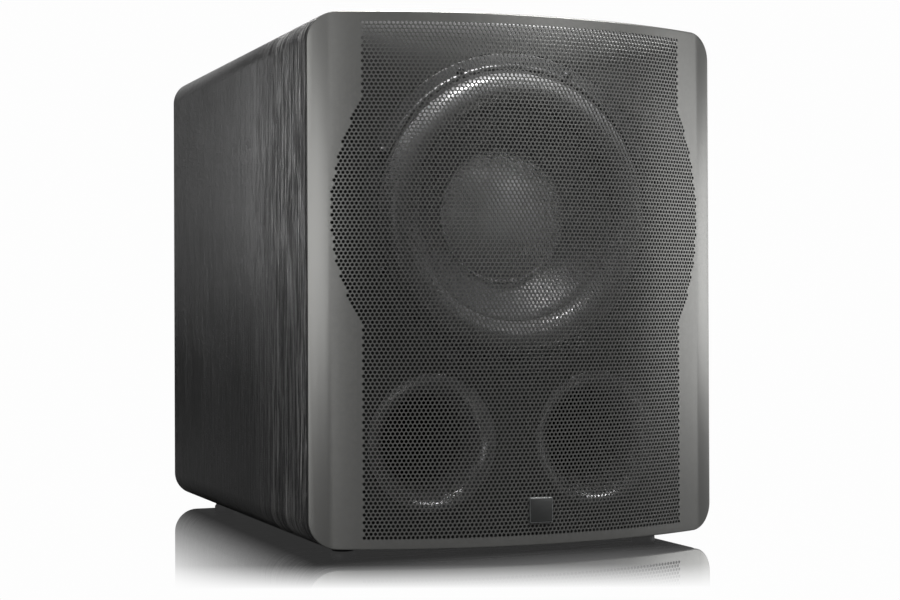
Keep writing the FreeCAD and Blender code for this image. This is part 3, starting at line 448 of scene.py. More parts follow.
def veneer_finish():
    """Open-pore veneer, plain at the rear; towards the front edge its pores and silvery streaks are painted
    stronger, a painted sheen over the real grain.
    """
    material, n, shader, place = surface("black_open_pore_veneer")
    depth = n.add("ShaderNodeSeparateXYZ", {"Vector": place}).outputs["Y"]
    # A painted sheen mask over the grain, strong at the front edge and faint at the rear.
    figure_and_sheen = n.remap(depth, SHEEN_FIGURE_END, SHEEN_FIGURE_START, 0.08, 1.0)
    grain = grouped(n, GRAIN, Position=place, Figure=figure_and_sheen)
    dust = grouped(n, DUST, Position=place, Amount=0.02)["Mask"]
    colour = n.mix_colour(dust, grain["Colour"], rgb(0.25, 0.25, 0.25))
    n.link(colour, shader.inputs["Base Color"])
    n.link(grain["Roughness"], shader.inputs["Roughness"])
    bumped(n, shader, grain["Height"], 0.75, 0.0006)
    return material


def grained(name, colour, roughness, metallic=0.0, scale=900.0, mottle=0.08, vary=0.25, bump=0.15,
            dust=0.05, edge=0.0, edge_colour=(0.5, 0.5, 0.5), coat=0.0):
    """Paint, moulded plastic, rubber or metal with a fine surface, dust and rubbed edges."""
    material, n, shader, place = surface(name)
    fine = grouped(n, FINE, Position=place, Scale=scale, Mottle=mottle)
    darker = rgb(*[c * (1 - vary) for c in colour])
    lighter = rgb(*[min(1.0, c * (1 + vary)) for c in colour])
    shade = n.mix_colour(n.remap(fine["Mask"], 0.2, 0.8), darker, lighter)
    if edge > 0:
        rubbed = grouped(n, RUBBED, Position=place, Amount=edge)["Mask"]
        shade = n.mix_colour(rubbed, shade, rgb(*edge_colour))
    film = grouped(n, DUST, Position=place, Amount=dust)["Mask"]
    shade = n.mix_colour(film, shade, rgb(0.30, 0.295, 0.29))
    n.link(shade, shader.inputs["Base Color"])
    spread = n.remap(fine["Mask"], 0.2, 0.8, max(0.02, roughness - 0.07), min(1.0, roughness + 0.07))
    n.link(n.plus(spread, n.times(film, 0.5), clamp=True), shader.inputs["Roughness"])
    shader.inputs["Metallic"].default_value = metallic
    shader.inputs["Coat Weight"].default_value = coat
    shader.inputs["Coat Roughness"].default_value = 0.15
    bumped(n, shader, fine["Height"], bump, 0.0003)
    return material


def brushed(name, colour, roughness, along="X"):
    """Metal with fine brush lines along one axis."""
    material, n, shader, place = surface(name)
    stretch = {"X": (40, 4000, 4000), "Z": (4000, 4000, 40)}[along]
    lines = n.noise(n.out("ShaderNodeMapping", {"Vector": place, "Scale": stretch}), 1.0, 3.0, 0.6)
    shade = n.mix_colour(lines, rgb(*[c * 0.8 for c in colour]), rgb(*[min(1.0, c * 1.2) for c in colour]))
    n.link(shade, shader.inputs["Base Color"])
    n.link(n.remap(lines, 0.2, 0.8, roughness - 0.06, roughness + 0.1), shader.inputs["Roughness"])
    shader.inputs["Metallic"].default_value = 1.0
    bumped(n, shader, lines, 0.12, 0.0002)
    return material


VENEER = veneer_finish()
GRILLE_PAINT = grained("grille_powder_coat", (0.165, 0.165, 0.159), 0.31, metallic=0.85, scale=1400.0,
                       vary=0.06, bump=0.10, dust=0.03, edge=0.15, edge_colour=(0.36, 0.36, 0.35))
BAFFLE_PAINT = grained("baffle_black_paint", (0.016, 0.016, 0.016), 0.40, scale=700.0, vary=0.2, bump=0.2)
CASTING = grained("coated_casting", (0.030, 0.030, 0.031), 0.38, scale=800.0, vary=0.15, bump=0.2,
                  edge=0.2)
RUBBER = grained("butyl_rubber", (0.110, 0.110, 0.111), 0.28, scale=600.0, vary=0.12, bump=0.06, dust=0.08)
CONE = grained("pressed_cone", (0.075, 0.075, 0.077), 0.40, scale=500.0, mottle=0.3, vary=0.15, bump=0.08)
# The dust cap is a brighter copy of the cone paper, standing in for light on its dome: painted light.
CAP_LIT_PAPER = grained("dust_cap_lit_paper", (0.240, 0.240, 0.242), 0.33, scale=600.0, mottle=0.3, vary=0.10, bump=0.05)
PORT_PLASTIC = grained("satin_port_plastic", (0.045, 0.045, 0.046), 0.20, vary=0.1, bump=0.10)
# A brighter, metallic copy of the port plastic, so the flare lips show painted highlights.
FLARE_PLASTIC_LIT_COPY = grained("flare_plastic_painted_highlight", (0.200, 0.200, 0.202), 0.25, vary=0.1, bump=0.03,
                        coat=0.5, metallic=0.6)
MOULDED = grained("moulded_black_plastic", (0.022, 0.022, 0.023), 0.5, scale=1100.0, vary=0.2, bump=0.25)
FOOT_RUBBER = grained("foot_rubber", (0.020, 0.020, 0.020), 0.6, scale=700.0, vary=0.2, bump=0.3)
BLACK_SCREW = grained("black_oxide_steel", (0.03, 0.03, 0.032), 0.32, metallic=0.7, scale=1500.0, vary=0.2,
                      bump=0.1, edge=0.35, edge_colour=(0.45, 0.45, 0.46))
ZINC = grained("zinc_plate", (0.55, 0.55, 0.57), 0.34, metallic=1.0, scale=400.0, mottle=0.6, vary=0.15,
               bump=0.1)
AMP_PAINT = grained("amp_plate_texture_paint", (0.016, 0.016, 0.017), 0.52, scale=1800.0, vary=0.3, bump=0.4)
BADGE_FACE = brushed("badge_brushed_plate", (0.085, 0.087, 0.086), 0.38)
BADGE_RIM = brushed("badge_bright_rim", (0.30, 0.31, 0.31), 0.28)
GOLD = brushed("gold_plate", (0.83, 0.60, 0.26), 0.20)
NICKEL = brushed("nickel_plate", (0.62, 0.60, 0.55), 0.22, along="Z")
COPPER = grained("enamelled_copper", (0.50, 0.20, 0.09), 0.3, metallic=0.9, scale=900.0, vary=0.2, bump=0.3)
STEEL = brushed("turned_steel", (0.42, 0.42, 0.43), 0.30)
FERRITE = grained("ground_ferrite", (0.05, 0.05, 0.055), 0.45, metallic=0.3, scale=300.0, vary=0.25, bump=0.3)
RAW_BOARD = grained("bare_fibreboard", (0.34, 0.25, 0.16), 0.8, scale=1500.0, vary=0.2, bump=0.3)
CIRCUIT = grained("circuit_board", (0.03, 0.13, 0.06), 0.35, scale=300.0, vary=0.3, bump=0.1)
ALUMINIUM = brushed("extruded_aluminium", (0.70, 0.70, 0.72), 0.32, along="Z")
FOAM = grained("closed_cell_foam", (0.03, 0.03, 0.03), 0.9, scale=500.0, vary=0.4, bump=0.6)
CLOTH = grained("resin_cloth", (0.50, 0.33, 0.12), 0.8, scale=1600.0, vary=0.3, bump=0.6)
RED_JACKET = grained("red_lead_jacket", (0.35, 0.02, 0.02), 0.4, scale=600.0, vary=0.1, bump=0.1)
WHITE_INSERT = grained("white_insulator", (0.75, 0.74, 0.72), 0.35, scale=900.0, vary=0.05, bump=0.1)


def lens_finish():
    material, n, shader, place = surface("status_lens")
    glow = n.remap(n.noise(place, 600.0), 0.3, 0.7, 0.8, 1.0)
    green = n.mix_colour(glow, rgb(0.02, 0.10, 0.03), rgb(0.05, 0.32, 0.09))
    n.link(green, shader.inputs["Base Color"])
    shader.inputs["Roughness"].default_value = 0.12
    shader.inputs["Coat Weight"].default_value = 0.5
    return material


LENS = lens_finish()


# ---- cabinet ---------------------------------------------------------------------------
def cabinet_outline(inset, y, radius):
    loop = round_rect(HALF_WIDTH - inset, HALF_HEIGHT - inset, radius, steps=24)
    return [Vector((px, y, MID_HEIGHT + pz)) for px, pz in loop]


def build_cabinet():
    """The veneered wrap as one tube, its front and rear edges eased."""
    ease = 1.3 * MM
    loops = []
    for inset, y in (
        (WALL, FRONT), (ease, FRONT), (ease * 0.6, FRONT + ease * 0.09), (ease * 0.29, FRONT + ease * 0.29),
        (ease * 0.09, FRONT + ease * 0.6), (0, FRONT + ease),
        (0, REAR - ease), (ease * 0.09, REAR - ease * 0.6), (ease * 0.29, REAR - ease * 0.29),
        (ease * 0.6, REAR - ease * 0.09), (ease, REAR), (WALL, REAR),
    ):
        radius = CORNER - inset if inset < WALL else 0.4 * MM
        loops.append(cabinet_outline(inset, y, radius))
    shell = lofted_ring("veneered_wrap", loops)
    nodes = ("side_panel_left", "side_panel_right", "top_panel", "bottom_panel")
    fit(shell, "cabinet", VENEER, "black_veneer", *nodes)
    shell.data.materials.append(BAFFLE_PAINT)
    for face in shell.data.polygons:
        if abs(face.normal.y) > 0.95:
            face.material_index = 1


FOOT_OUTLINE = (  # radius, height, rounding, in mm
    (2.8, 10.0, 0), (11.6, 10.0, 0.4), (13.0, 8.6, 0.8), (12.8, 2.2, 1.2), (11.0, 0.0, 0.8), (6.4, 0.0, 0.4),
    (6.0, 5.5, 0.2), (2.8, 5.5, 0),
)


def build_feet():
    low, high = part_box("rubber_feet")
    radius = 13 * MM
    for i, x in enumerate((low.x + radius, high.x - radius)):
        for k, y in enumerate((low.y + radius, high.y - radius)):
            points = [(r * MM, d * MM, f * MM) for r, d, f in FOOT_OUTLINE]
            foot = turned(f"foot_{i}{k}", soft_outline(points, 3), Vector((x, y, 0)), "Z", 64)
            fit(foot, "cabinet", FOOT_RUBBER, "rubber", *(["rubber_feet"] if i == k == 0 else []))


# ---- the curved sheet ------------------------------------------------------------------
def bend_to_sheet(u, v, out):
    """Where a point of the flat sheet lands on the curved one. Out is the height above the inner face."""
    radius = ARC_RADIUS - SHEET + out
    angle = u / ARC_RADIUS
    return Vector((radius * math.sin(angle), ARC_CENTRE_Y - radius * math.cos(angle), v))


def hole_place(column, row):
    return (column + 0.5 * (row % 2)) * HOLE_PITCH, HOLES_LOW + row * ROW_PITCH


def is_perforated(u, v):
    if abs(u) <= HOLES_HALF_WIDTH:
        return True
    return math.hypot(u, v - WAIST_HEIGHT) <= WAIST_RADIUS


HOLE_COLUMNS = 2 * int(WAIST_RADIUS / HOLE_PITCH) + 3
FIRST_COLUMN = -(HOLE_COLUMNS // 2)
PERFORATED = {
    (c, r)
    for r in range(HOLE_ROWS)
    for c in range(FIRST_COLUMN, FIRST_COLUMN + HOLE_COLUMNS)
    if is_perforated(*hole_place(c, r))
}


def geometry_tree(name, inputs):
    """An empty Geometry Nodes tree, its inputs given as name, kind and starting value."""
    tree = bpy.data.node_groups.new(name, "GeometryNodeTree")
    tree.interface.new_socket("Geometry", in_out="OUTPUT", socket_type="NodeSocketGeometry")
    for key, kind, value in inputs + [("Finish", "Material", None)]:
        socket = tree.interface.new_socket(key, in_out="INPUT", socket_type="NodeSocket" + kind)
        if value is not None:
            socket.default_value = value
    n = Nodes(tree)
    return n, n.add("NodeGroupInput").outputs, n.add("NodeGroupOutput")


def made_real(n, geometry, given, out):
    """Ends a tree: its instances made real, in the finish that it was given."""
    real = n.out("GeometryNodeRealizeInstances", {"Geometry": geometry})
    n.link(n.out("GeometryNodeSetMaterial", {"Geometry": real, "Material": given["Finish"]}), out.inputs[0])
    return n.tree


def perforated_sheet_tree():
    """Rows of six-sided holes, staggered by half a pitch, thickened and bent to the sheet's curve."""
    sizes = {
        "Hole Pitch": HOLE_PITCH, "Hole Width": HOLE_WIDTH, "Half Width": HOLES_HALF_WIDTH,
        "Low Edge": HOLES_LOW, "Waist Radius": WAIST_RADIUS, "Waist Height": WAIST_HEIGHT,
        "Sheet Thickness": SHEET, "Curve Radius": ARC_RADIUS, "Curve Centre": ARC_CENTRE_Y,
    }
    counts = ("First Row", "Row Count", "Column Count")
    n, given, out = geometry_tree("perforated_sheet", [(key, "Float", value) for key, value in sizes.items()]
                                  + [(key, "Int", 1) for key in counts])

    index = n.out("GeometryNodeInputIndex")
    count = n.times(given["Row Count"], given["Column Count"])
    row_in_part = n.math("FLOOR", n.over(n.plus(index, 0.5), given["Column Count"]))
    column = n.minus(index, n.times(row_in_part, given["Column Count"]))
    row = n.plus(row_in_part, given["First Row"])
    odd = n.math("FLOORED_MODULO", row, 2.0)
    half_count = n.math("FLOOR", n.over(given["Column Count"], 2.0))
    across = n.plus(n.minus(column, half_count), n.times(odd, 0.5))
    u = n.times(across, given["Hole Pitch"])
    row_pitch = n.times(given["Hole Pitch"], math.sqrt(3) / 2)
    v = n.plus(n.times(row, row_pitch), given["Low Edge"])
    place = n.out("ShaderNodeCombineXYZ", {"X": u, "Y": v})
    points = n.out("GeometryNodePoints", {"Count": count, "Position": place})

    here = n.add("ShaderNodeSeparateXYZ", {"Vector": n.out("GeometryNodeInputPosition")}).outputs
    outside_band = n.math("GREATER_THAN", n.math("ABSOLUTE", here["X"]), given["Half Width"])
    rise = n.minus(here["Y"], given["Waist Height"])
    reach = n.math("SQRT", n.plus(n.math("POWER", here["X"], 2.0), n.math("POWER", rise, 2.0)))
    outside_waist = n.math("GREATER_THAN", reach, given["Waist Radius"])
    outside = n.times(outside_band, outside_waist)
    kept = n.out("GeometryNodeDeleteGeometry", {"Geometry": points, "Selection": outside}, domain="POINT")

    cell_radius = n.over(given["Hole Pitch"], math.sqrt(3))
    hole_radius = n.over(given["Hole Width"], math.sqrt(3))
    six = n.out("GeometryNodeMeshCircle", {"Vertices": 6, "Radius": cell_radius}, fill_type="NONE")
    upright = n.out("GeometryNodeTransform", {"Geometry": six, "Rotation": (0, 0, math.radians(30))})
    inward = n.add("ShaderNodeVectorMath", {0: n.out("GeometryNodeInputPosition")}, operation="NORMALIZE")
    land = n.over(n.minus(hole_radius, cell_radius), math.cos(math.radians(30)))
    cell = n.add(
        "GeometryNodeExtrudeMesh",
        {"Mesh": upright, "Offset": inward.outputs[0], "Offset Scale": land},
        mode="EDGES",
    ).outputs["Mesh"]

    laid = n.out("GeometryNodeInstanceOnPoints", {"Points": kept, "Instance": cell})
    flat = n.out("GeometryNodeRealizeInstances", {"Geometry": laid})
    joined = n.out("GeometryNodeMergeByDistance", {"Geometry": flat, "Distance": 2e-5})
    up = n.out("ShaderNodeCombineXYZ", {"Z": given["Sheet Thickness"]})
    face = n.add(
        "GeometryNodeExtrudeMesh",
        {"Mesh": joined, "Offset": up, "Offset Scale": 1.0, "Individual": False},
        mode="FACES",
    ).outputs["Mesh"]
    inner = n.out("GeometryNodeFlipFaces", {"Mesh": joined})
    both = n.add("GeometryNodeJoinGeometry")
    n.link(face, both.inputs[0])
    n.link(inner, both.inputs[0])
    closed = n.out("GeometryNodeMergeByDistance", {"Geometry": both.outputs[0], "Distance": 2e-5})

    spot = n.add("ShaderNodeSeparateXYZ", {"Vector": n.out("GeometryNodeInputPosition")}).outputs
    angle = n.over(spot["X"], given["Curve Radius"])
    radius = n.plus(n.minus(given["Curve Radius"], given["Sheet Thickness"]), spot["Z"])
    x = n.times(radius, n.math("SINE", angle))
    y = n.minus(given["Curve Centre"], n.times(radius, n.math("COSINE", angle)))
    curved = n.out("ShaderNodeCombineXYZ", {"X": x, "Y": y, "Z": spot["Y"]})
    bent = n.out("GeometryNodeSetPosition", {"Geometry": closed, "Position": curved})
    return made_real(n, bent, given, out)


def grown(name, tree, start_mesh, **values):
    """Runs a Geometry Nodes tree on a mesh with these input values, and keeps the result as a plain mesh."""
    holder = put(name + "_source", start_mesh)
    modifier = holder.modifiers.new("grow", "NODES")
    modifier.node_group = tree
    sockets = {s.name: s.identifier for s in tree.interface.items_tree if s.in_out == "INPUT"}
    for key, value in values.items():
        modifier[sockets[key.replace("_", " ")]] = value
    bpy.context.view_layer.update()
    evaluated = holder.evaluated_get(bpy.context.evaluated_depsgraph_get())
    mesh = bpy.data.meshes.new_from_object(evaluated)
    holder.modifiers.remove(modifier)
    bpy.data.objects.remove(holder)
    mesh.name = name
    return put(name, mesh)


SHEET_PARTS = (("lower", 0, 45), ("middle", 45, 42), ("upper", 87, 48))  # name, first row, rows


def build_perforated_field():
    tree = perforated_sheet_tree()
    for label, first, rows in SHEET_PARTS:
        field = grown(
            f"perforated_{label}", tree, bpy.data.meshes.new("flat"),
            First_Row=first, Row_Count=rows, Column_Count=HOLE_COLUMNS, Finish=GRILLE_PAINT,
        )
        shade(field.data)
        fit(field, "grille", None, "grille_paint", "grille_sheet")


def cell_corner(column, row, k):
    """Corner k of the six-sided cell round a hole, anticlockwise from the lower right."""
    u, v = hole_place(column, row)
    angle = math.radians(-30 + 60 * k)
    radius = HOLE_PITCH / math.sqrt(3)
    return u + radius * math.cos(angle), v + radius * math.sin(angle)


def neighbour(column, row, k):
    """The cell across side k, where side k runs from corner k to corner k + 1."""
    odd = row % 2
    steps = ((1, 0), (odd, 1), (odd - 1, 1), (-1, 0), (odd - 1, -1), (odd, -1))
    return column + steps[k][0], row + steps[k][1]


def nearest_hole(u, v):
    best = None
    guess = round((v - HOLES_LOW) / ROW_PITCH)
    for row in (guess - 1, guess, guess + 1):
        column = round(u / HOLE_PITCH - 0.5 * (row % 2))
        pu, pv = hole_place(column, row)
        distance = (pu - u) ** 2 + (pv - v) ** 2
        if best is None or distance < best[0]:
            best = (distance, (column, row))
    return best[1]


def sheet_outline(inset):
    """The sheet's rounded outline on the flat, drawn in by an inset."""
    loop = round_rect(HALF_WIDTH - inset, HALF_HEIGHT - inset, CORNER - inset, steps=24)
    return [(ARC_RADIUS * math.asin(x / ARC_RADIUS), MID_HEIGHT + z) for x, z in loop]


def densified(loop, longest):
    result = []
    for i, (u, v) in enumerate(loop):
        nu, nv = loop[(i + 1) % len(loop)]
        count = max(1, math.ceil(math.hypot(nu - u, nv - v) / longest))
        for k in range(count):
            t = k / count
            result.append((u + (nu - u) * t, v + (nv - v) * t))
    return result


RIM, MARGIN_GRID = 1.1 * MM, 6 * MM
CORNER_X, CORNER_Z = HALF_WIDTH - CORNER, HALF_HEIGHT - CORNER


def margin_triangles():
    """The plain border on the flat, from the last holes out to where the edge starts to round over."""
    outer = densified(sheet_outline(RIM), MARGIN_GRID)
    corner_index, corners, edges = {}, [], []

    def corner(u, v):
        key = (round(u * 1e6), round(v * 1e6))
        if key not in corner_index:
            corner_index[key] = len(corners)
            corners.append(Vector((u, v)))
        return corner_index[key]

    for i, (u, v) in enumerate(outer):
        edges.append((corner(u, v), corner(*outer[(i + 1) % len(outer)])))
    for c, r in sorted(PERFORATED):
        for k in range(6):
            if neighbour(c, r, k) not in PERFORATED:
                edges.append((corner(*cell_corner(c, r, k)), corner(*cell_corner(c, r, (k + 1) % 6))))
    half_arc = max(u for u, v in outer)
    lines = int(half_arc / MARGIN_GRID)
    for i in range(-lines, lines + 1):
        u = i * MARGIN_GRID + 0.7 * MM
        if abs(u) < half_arc - CORNER * 0.2:
            heights = [v for k, (pu, v) in enumerate(outer) if abs(pu - u) < 4 * MM]
            edges.append((corner(u, min(heights) + 0.8 * MM), corner(u, max(heights) - 0.8 * MM)))
    points, _, triangles, _, _, _ = delaunay_2d_cdt(corners, edges, [], 0, 1e-7, True)
    kept = []
    for t in triangles:
        u = sum(points[i].x for i in t) / 3
        v = sum(points[i].y for i in t) / 3
        x = ARC_RADIUS * math.sin(u / ARC_RADIUS)
        qx = max(0.0, abs(x) - CORNER_X)
        qz = max(0.0, abs(v - MID_HEIGHT) - CORNER_Z)
        if math.hypot(qx, qz) < CORNER - RIM and nearest_hole(u, v) not in PERFORATED:
            kept.append(tuple(t))
    used = {side: True for a, b, c in kept for side in ((a, b), (b, c), (c, a))}
    boundary = [(a, b) for a, b in used if (b, a) not in used]
    return kept, points, boundary


def build_margin():
    """The plain border as a closed piece, its outer edge rounded over."""
    triangles, points, boundary = margin_triangles()
    corners, faces, front, back = [], [], {}, {}

    def is_outer(i):
        x = ARC_RADIUS * math.sin(points[i].x / ARC_RADIUS)
        q = Vector((max(0.0, abs(x) - CORNER_X), max(0.0, abs(points[i].y - MID_HEIGHT) - CORNER_Z)))
        return q.length > CORNER - RIM - 0.05 * MM

    def pushed(i, out, height):
        """A rim point moved outward on the flat by out, at a height above the inner face."""
        x = ARC_RADIUS * math.sin(points[i].x / ARC_RADIUS)
        z = points[i].y - MID_HEIGHT
        qx, qz = max(0.0, abs(x) - CORNER_X), max(0.0, abs(z) - CORNER_Z)
        away = Vector((math.copysign(qx, x), math.copysign(qz, z)))
        away = away.normalized() * out if away.length > 0 else away
        u = ARC_RADIUS * math.asin(min(HALF_WIDTH, max(-HALF_WIDTH, x + away.x)) / ARC_RADIUS)
        corners.append(bend_to_sheet(u, points[i].y + away.y, height))
        return len(corners) - 1

    for i in sorted({i for t in triangles for i in t}):
        front[i] = pushed(i, 0.0, SHEET)
        back[i] = pushed(i, 0.0, 0.0)
    for a, b, c in triangles:
        faces.append((front[a], front[b], front[c]))
        faces.append((back[c], back[b], back[a]))
    turn = ((0.38, 0.08), (0.71, 0.29), (0.92, 0.62), (1.0, 1.0))
    rounding = [(RIM * out, SHEET - RIM * down) for out, down in turn] + [(RIM, 0.0)]
    steps = {}
    for a, b in boundary:
        for i in (a, b):
            if i not in steps:
                ring = [pushed(i, out, height) for out, height in rounding] if is_outer(i) else []
                steps[i] = [front[i]] + ring + [back[i]]
        path_a, path_b = steps[a], steps[b]
        if len(path_a) != len(path_b):
            faces.append(tuple(path_a) + tuple(reversed(path_b)))
            continue
        for k in range(len(path_a) - 1):
            faces.append((path_b[k], path_a[k], path_a[k + 1], path_b[k + 1]))
    margin = mesh_piece("grille_margin", corners, faces, sharp=50.0)
    fit(margin, "grille", GRILLE_PAINT, "grille_paint")


def build_badge():
    low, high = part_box("grille_badge")
    half = (high.x - low.x) / 2
    inner = half - 0.9 * MM
    z = middle_of("grille_badge")[1]
    rim = plate("badge_rim", half, half, 1.4 * MM, low.y + 0.35 * MM, low.y + 3.0 * MM, 0.0, z, 0.35 * MM)
    face = plate("badge_face", inner, inner, 0.8 * MM, low.y, low.y + 1.5 * MM, 0.0, z, 0.2 * MM)
    fit(rim, "grille", BADGE_RIM, "badge_metal", "grille_badge")
    fit(face, "grille", BADGE_FACE, "badge_metal")


# ---- woofer ----------------------------------------------------------------------------
ROLL_OUTER, ROLL_INNER, ROLL_HEIGHT = 150 * MM, 114 * MM, 18 * MM
CAP_RADIUS, CAP_RISE, CAP_RIM = 72 * MM, 25 * MM, 3 * MM
CONE_RIM, CONE_NECK, CONE_NECK_DEPTH, CONE_EDGE = 108 * MM, 38.5 * MM, 64 * MM, 3 * MM
FLANGE_RADIUS = 171 * MM
FLANGE_DEPTH = 22 * MM
SCREW_CIRCLE = 162 * MM


def cone_depth(radius):
    return CONE_EDGE + (CONE_RIM - radius) / (CONE_RIM - CONE_NECK) * (CONE_NECK_DEPTH - CONE_EDGE)


def roll_profile(thickness):
    """The rubber's half roll from its glued outer lip to its inner lip, front face out and back face home."""
    middle, half = (ROLL_OUTER + ROLL_INNER) / 2, (ROLL_OUTER - ROLL_INNER) / 2
    front, back = [], []
    steps = 40
    for i in range(steps + 1):
        angle = math.pi * i / steps
        for side, shrink in ((front, 0.0), (back, thickness)):
            r = middle + (half - shrink) * math.cos(angle)
            d = 0.0006 - (ROLL_HEIGHT - shrink) * math.sin(angle) ** 0.92
            side.append((r, d))
    lip_out = [(ROLL_OUTER + 0.0035, 0.0006 - 0.0004), (ROLL_OUTER + 0.0012, -0.0002)]
    lip_in = [(ROLL_INNER - 0.0012, 0.0002), (ROLL_INNER - 0.005, 0.0014), (ROLL_INNER - 0.005, 0.0024)]
    end = [(ROLL_OUTER + 0.0035, 0.0018)]
    return lip_out + front + lip_in + [(ROLL_INNER - 0.0004, 0.0022)] + back[::-1] + end


def look_of(obj, material, node):
    """A piece's material and the CAD it stands for."""
    dress(obj, material)
    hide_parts(node)


def radial_blend(obj):
    """Bakes a round piece's placement into its mesh."""
    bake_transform(obj)


def build_woofer():
    c = WOOFER_CENTRE
    surround = turned("surround_roll", roll_profile(0.0018), c, segments=256, sharp=60.0)
    look_of(surround, RUBBER, "woofer_surround")
    radial_blend(surround)

    depth = 0.006
    flange = [
        (ROLL_OUTER + 0.004, 0.0010, 0), (ROLL_OUTER + 0.0044, 0.0002, 0.0003),
        (ROLL_OUTER + 0.0052, -0.0016, 0.0008),
        (ROLL_OUTER + 0.0080, -0.0016, 0.0010), (ROLL_OUTER + 0.0092, 0.0, 0.0008),
        (FLANGE_RADIUS, 0.0, 0.0010), (FLANGE_RADIUS, depth, 0.0003), (ROLL_OUTER + 0.0022, depth, 0),
        (ROLL_OUTER + 0.0022, FLANGE_DEPTH, 0), (ROLL_OUTER - 0.002, FLANGE_DEPTH, 0),
        (ROLL_OUTER - 0.002, 0.0034, 0), (ROLL_OUTER + 0.004, 0.0028, 0),
    ]
    ring = turned("flange_ring", soft_outline(flange, 4), c, segments=256)
    fit(ring, "cabinet", CASTING, "cast_frame", "woofer_flange")

    cone = []
    steps = 24
    for i in range(steps + 1):
        r = CONE_RIM + (CONE_NECK - CONE_RIM) * i / steps
        cone.append((r, cone_depth(r)))
    rim = [(ROLL_INNER + 0.0005, 0.0026), (CONE_RIM + 0.002, 0.0026)]
    back = [(r, d + 0.0018) for r, d in cone[::-1]]
    back += [(CONE_RIM + 0.002, 0.0046), (ROLL_INNER + 0.0005, 0.0046)]
    body = turned("cone_body", rim + cone + back, c, segments=256, sharp=60.0)
    fit(body, "cone_assembly", CONE, "cone_paper", "woofer_cone")

    dome = CAP_RADIUS - CAP_RIM
    seat = cone_depth(dome) - 0.0016
    ball = (dome**2 + CAP_RISE**2) / (2 * CAP_RISE)
    steps = 36
    top = []
    for i in range(steps + 1):
        r = dome * i / steps
        top.append((r, seat - CAP_RISE + ball - math.sqrt(ball**2 - r**2)))
    bead = [(dome + 0.0004, seat - 0.0002), (dome + 0.0012, seat - 0.0011), (dome + 0.0022, seat - 0.0020),
            (CAP_RADIUS, cone_depth(CAP_RADIUS) - 0.0022),
            (CAP_RADIUS + 0.0006, cone_depth(CAP_RADIUS + 0.0006) - 0.0004)]
    under = [(dome, seat + 0.0012)] + [(r, d + 0.0016) for r, d in top[-3::-1]]
    cap = turned("domed_cap", top + bead + under, c, segments=256, sharp=60.0)
    # The cap wears the brighter copy of the cone paper: painted light on the dome.
    fit(cap, "cone_assembly", CAP_LIT_PAPER, "cone_paper", "dust_cap")


def screw_mesh(name, radius, height, across):
    """A button head with a six-sided socket, its seat at the origin and its axis along +Z."""
    head = [(0.0, 0.0), (radius, 0.0), (radius, height * 0.35), (radius * 0.93, height * 0.62),
            (radius * 0.76, height * 0.86), (radius * 0.56, height * 0.98), (across * 0.62, height)]
    segments = 36
    corners, faces = [], []
    for r, z in head[1:]:
        corners += [(r * math.cos(2 * math.pi * k / segments), r * math.sin(2 * math.pi * k / segments), z)
                    for k in range(segments)]
    rows = len(head) - 1
    for i in range(rows - 1):
        faces += band(i * segments, (i + 1) * segments, segments)
    faces.append(tuple(range(segments))[::-1])
    socket = across / math.sqrt(3)
    start = len(corners)
    for depth in (height * 0.99, height * 0.35):
        for k in range(segments):
            angle = 2 * math.pi * k / segments
            side = (angle + math.pi / 6) % (math.pi / 3) - math.pi / 6
            r = (across / 2) / math.cos(side)
            corners.append((r * math.cos(angle), r * math.sin(angle), depth))
    faces += band((rows - 1) * segments, start, segments)
    faces += band(start, start + segments, segments)
    faces.append(tuple(range(start + segments, start + 2 * segments)))
    mesh = bpy.data.meshes.new(name)
    mesh.from_pydata(corners, [], faces)
    return mesh


def placed_copies_tree():
    """Sets a copy of one piece on every vertex, turned to face along a direction, with its own spin."""
    n, given, out = geometry_tree("placed_copies", [
        ("Geometry", "Geometry", None), ("Piece", "Object", None), ("Facing", "Vector", (0, -1, 0)),
        ("Seed", "Int", 7),
    ])
    piece = n.add("GeometryNodeObjectInfo", {"Object": given["Piece"]}, transform_space="ORIGINAL")
    aim = n.out("FunctionNodeAlignRotationToVector", {"Vector": given["Facing"]}, axis="Z")
    most = math.radians(60)
    spin = n.add("FunctionNodeRandomValue", {"Seed": given["Seed"], 3: most}, data_type="FLOAT").outputs[1]
    turn = n.out("FunctionNodeAxisAngleToRotation", {"Axis": (0, 0, 1), "Angle": spin})
    both = n.out("FunctionNodeRotateRotation", {0: aim, 1: turn}, rotation_space="LOCAL")
    laid = n.out(
        "GeometryNodeInstanceOnPoints",
        {"Points": given["Geometry"], "Instance": piece.outputs["Geometry"], "Rotation": both},
    )
    return made_real(n, laid, given, out)


COPIES = placed_copies_tree()


def scatter(name, places, piece_mesh, facing, material, seed=7):
    spots = bpy.data.meshes.new(name + "_spots")
    spots.from_pydata([tuple(p) for p in places], [], [])
    piece = put(name + "_one", piece_mesh)
    result = grown(name, COPIES, spots, Piece=piece, Facing=facing, Seed=seed, Finish=material)
    bpy.data.objects.remove(piece)
    shade(result.data)
    return result


def build_woofer_screws():
    places = []
    for i in range(8):
        angle = math.radians(22.5 + 45 * i)
        places.append(on_axis(WOOFER_CENTRE, "Y", SCREW_CIRCLE, angle, 0.0))
    one = screw_mesh("bolt", 4.6 * MM, 2.8 * MM, 3.6 * MM)
    screws = scatter("woofer_bolts", places, one, (0, -1, 0), BLACK_SCREW)
    fit(screws, "cabinet", None, "black_steel", "woofer_screws")


# ---- ports -----------------------------------------------------------------------------
PORT_MOUTH, PORT_RADIUS, PORT_FLARE, FLARE_WALL = 72 * MM, 46 * MM, 40 * MM, 2.6 * MM


